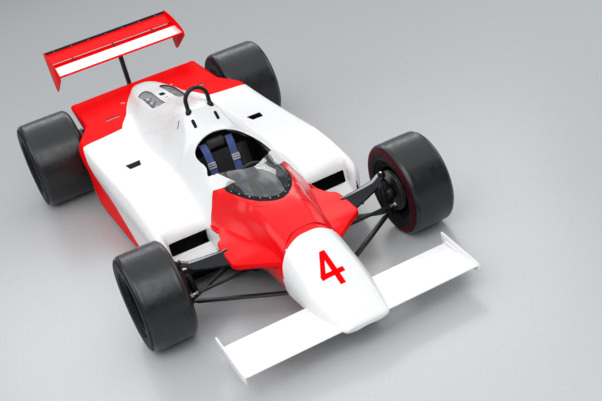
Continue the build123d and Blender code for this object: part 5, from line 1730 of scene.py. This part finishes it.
ring_pts = [(-1.445 + 0.058 * math.cos(a), 0.5515, 0.341 + 0.058 * math.sin(a)) for a in np.linspace(0, 2 * math.pi, 8, endpoint=False)]
k.add(*hexes(ring_pts, [(0, -1, 0)] * 8, 0.006, 0.005))
k.mirror()
rear_up = k.obj("rear_upright_pair", [CAST], angle=35)
piece(rear_up, "chassis", "alloy", "rear_uprights")

k = Kit()
rows = []
for y, x0, x1, z0, z1 in ((0.092, -1.330, -1.250, 0.399, 0.431), (0.20, -1.358, -1.286, 0.412, 0.444), (0.40, -1.418, -1.348, 0.440, 0.470), (0.568, -1.473, -1.417, 0.463, 0.487)):
    q = rounded([(x0, (z0 + z1) / 2 - 0.004), (x0 + 0.012, z0), (x1 - 0.010, z0), (x1, (z0 + z1) / 2), (x1 - 0.010, z1), (x0 + 0.012, z1)], 0.006, 3)
    rows.append([(x, y, z) for x, z in q])
k.add(*loft(np.array(rows)))
strut(k, (-1.180, 0.110, 0.200), (-1.445, 0.572, 0.215), 0.0138)
strut(k, (-1.700, 0.085, 0.190), (-1.445, 0.572, 0.215), 0.0138)
k.add(*turn([(0.545, 0.0), (0.545, 0.020), (0.568, 0.022), (0.568, 0.0)], (-1.445, 0, 0.213), (0, 1, 0), 20, closed=False))
k.mirror()
rear_arms = k.obj("rear_arm_pair", [BLACK], angle=40)
piece(rear_arms, "chassis", "black_metal", "rear_suspension_arms")

# gearbox casing with ribs and bolts
k = Kit()
rows = []
for x, w, z0, z1 in ((-1.061, 0.124, 0.122, 0.418), (-1.085, 0.124, 0.122, 0.418), (-1.10, 0.112, 0.135, 0.405), (-1.24, 0.108, 0.140, 0.402), (-1.255, 0.094, 0.152, 0.398), (-1.62, 0.092, 0.155, 0.396), (-1.72, 0.088, 0.165, 0.390), (-1.86, 0.085, 0.175, 0.380), (-1.880, 0.094, 0.152, 0.398), (-1.904, 0.094, 0.152, 0.398)):
    q = rounded([(-w, z0), (w, z0), (w, z1), (-w, z1)], 0.028, 5)
    rows.append([(x, y, z) for y, z in q])
k.add(*loft(np.array(rows)))
for x in np.arange(-1.31, -1.86, -0.075):
    if abs(x + 1.445) < 0.07:
        continue
    q = rounded([(-0.0945, 0.160), (0.0945, 0.160), (0.0945, 0.394), (-0.0945, 0.394)], 0.03, 5)
    k.add(*prism(q, 0, x - 0.004, x + 0.004))
for s in (1, -1):
    k.add(*turn([(0.080, 0.031), (0.080, 0.066), (0.122, 0.060), (0.129, 0.056), (0.129, 0.031)] if s > 0 else [(-0.080, 0.031), (-0.080, 0.066), (-0.122, 0.060), (-0.129, 0.056), (-0.129, 0.031)], (-1.445, 0, 0.341), (0, 1, 0), 40))
ring_pts = []
for a in np.linspace(0, 2 * math.pi, 14, endpoint=False):
    ring_pts.append((-1.9042, 0.083 * math.copysign(min(1, abs(math.cos(a)) * 1.25), math.cos(a)), 0.275 + 0.112 * math.copysign(min(1, abs(math.sin(a)) * 1.25), math.sin(a))))
k.add(*hexes([(x + 0.0, y, z) for x, y, z in ring_pts], [(1, 0, 0)] * len(ring_pts), 0.0065, 0.0035), 1)
gear = k.obj("gearbox_casing", [CAST, HEAD], angle=35)
piece(gear, "chassis", "alloy", "gearbox")


def finish_node(name, mat):
    o = node[name]
    o.data.materials.clear()
    o.data.materials.append(mat)


finish_node("engine", CAST)
finish_node("underfloor", FLOOR_BLACK)

# ------------------------------------------------------------------ floor, light, camera
bm = bmesh.new()
bmesh.ops.create_grid(bm, x_segments=8, y_segments=8, size=20.0)
me = bpy.data.meshes.new("studio_floor")
bm.to_mesh(me)
bm.free()
floor = bpy.data.objects.new("studio_floor", me)
scene.collection.objects.link(floor)
k = Look("floor_resin", Specular_IOR_Level=0.5)
k.colour(k.ramp(k.noise(140.0, 3.0, 0.6), [(0.3, (0.42, 0.435, 0.445)), (0.7, (0.485, 0.50, 0.51))]))
k.roughness(k.span(k.noise(90.0, 3.0, 0.5), 0.26, 0.32))
me.materials.append(k.mat)

world = bpy.data.worlds.new("studio")
world.use_nodes = True
bg = world.node_tree.nodes["Background"]
bg.inputs["Color"].default_value = (0.80, 0.84, 0.88, 1.0)
bg.inputs["Strength"].default_value = 0.30
scene.world = world


def area(name, at, to, sx, sy, power, colour=(1, 1, 1)):
    li = bpy.data.lights.new(name, "AREA")
    li.shape, li.size, li.size_y, li.energy, li.color = "RECTANGLE", sx, sy, power, colour
    o = bpy.data.objects.new(name, li)
    o.location = at
    o.rotation_euler = (Vector(to) - Vector(at)).to_track_quat("-Z", "Y").to_euler()
    scene.collection.objects.link(o)
    return o


area("overhead", (-1.5, 0.0, 7.5), (-1.5, 0.0, 0.0), 16.0, 14.0, 565)
area("front_key", (5.0, -2.0, 4.8), (0.6, 0.0, 0.3), 6.0, 5.0, 252)
area("rear_panel", (-9.5, 3.0, 6.9), (0.0, 0.0, 0.4), 11.0, 3.0, 320)
area("fill_left", (0.5, 7.0, 3.6), (0.0, 0.0, 0.4), 7.0, 4.0, 138)
area("fill_right", (-0.5, -7.0, 3.6), (0.0, 0.0, 0.4), 7.0, 4.0, 156)

cam = bpy.data.cameras.new("camera")
cam.sensor_fit, cam.sensor_width, cam.lens = "HORIZONTAL", 36.0, 62.535
cam.shift_x, cam.shift_y = -0.0119, 0.0056
cam.clip_end = 100.0
az, el, roll = (math.radians(v) for v in (-19.672, 26.331, -14.615))
b = Vector((math.cos(el) * math.cos(az), math.cos(el) * math.sin(az), math.sin(el)))
r = Vector((0, 0, 1)).cross(b).normalized()
u = b.cross(r)
c, s = math.cos(roll), math.sin(roll)
right, upv = c * r + s * u, -s * r + c * u
rot = Matrix((right, upv, b)).transposed()
co = bpy.data.objects.new("camera", cam)
co.matrix_world = Matrix.Translation((6.5979, -1.7403, 3.2802)) @ rot.to_4x4()
scene.collection.objects.link(co)
scene.camera = co
scene.view_settings.view_transform = "Standard"
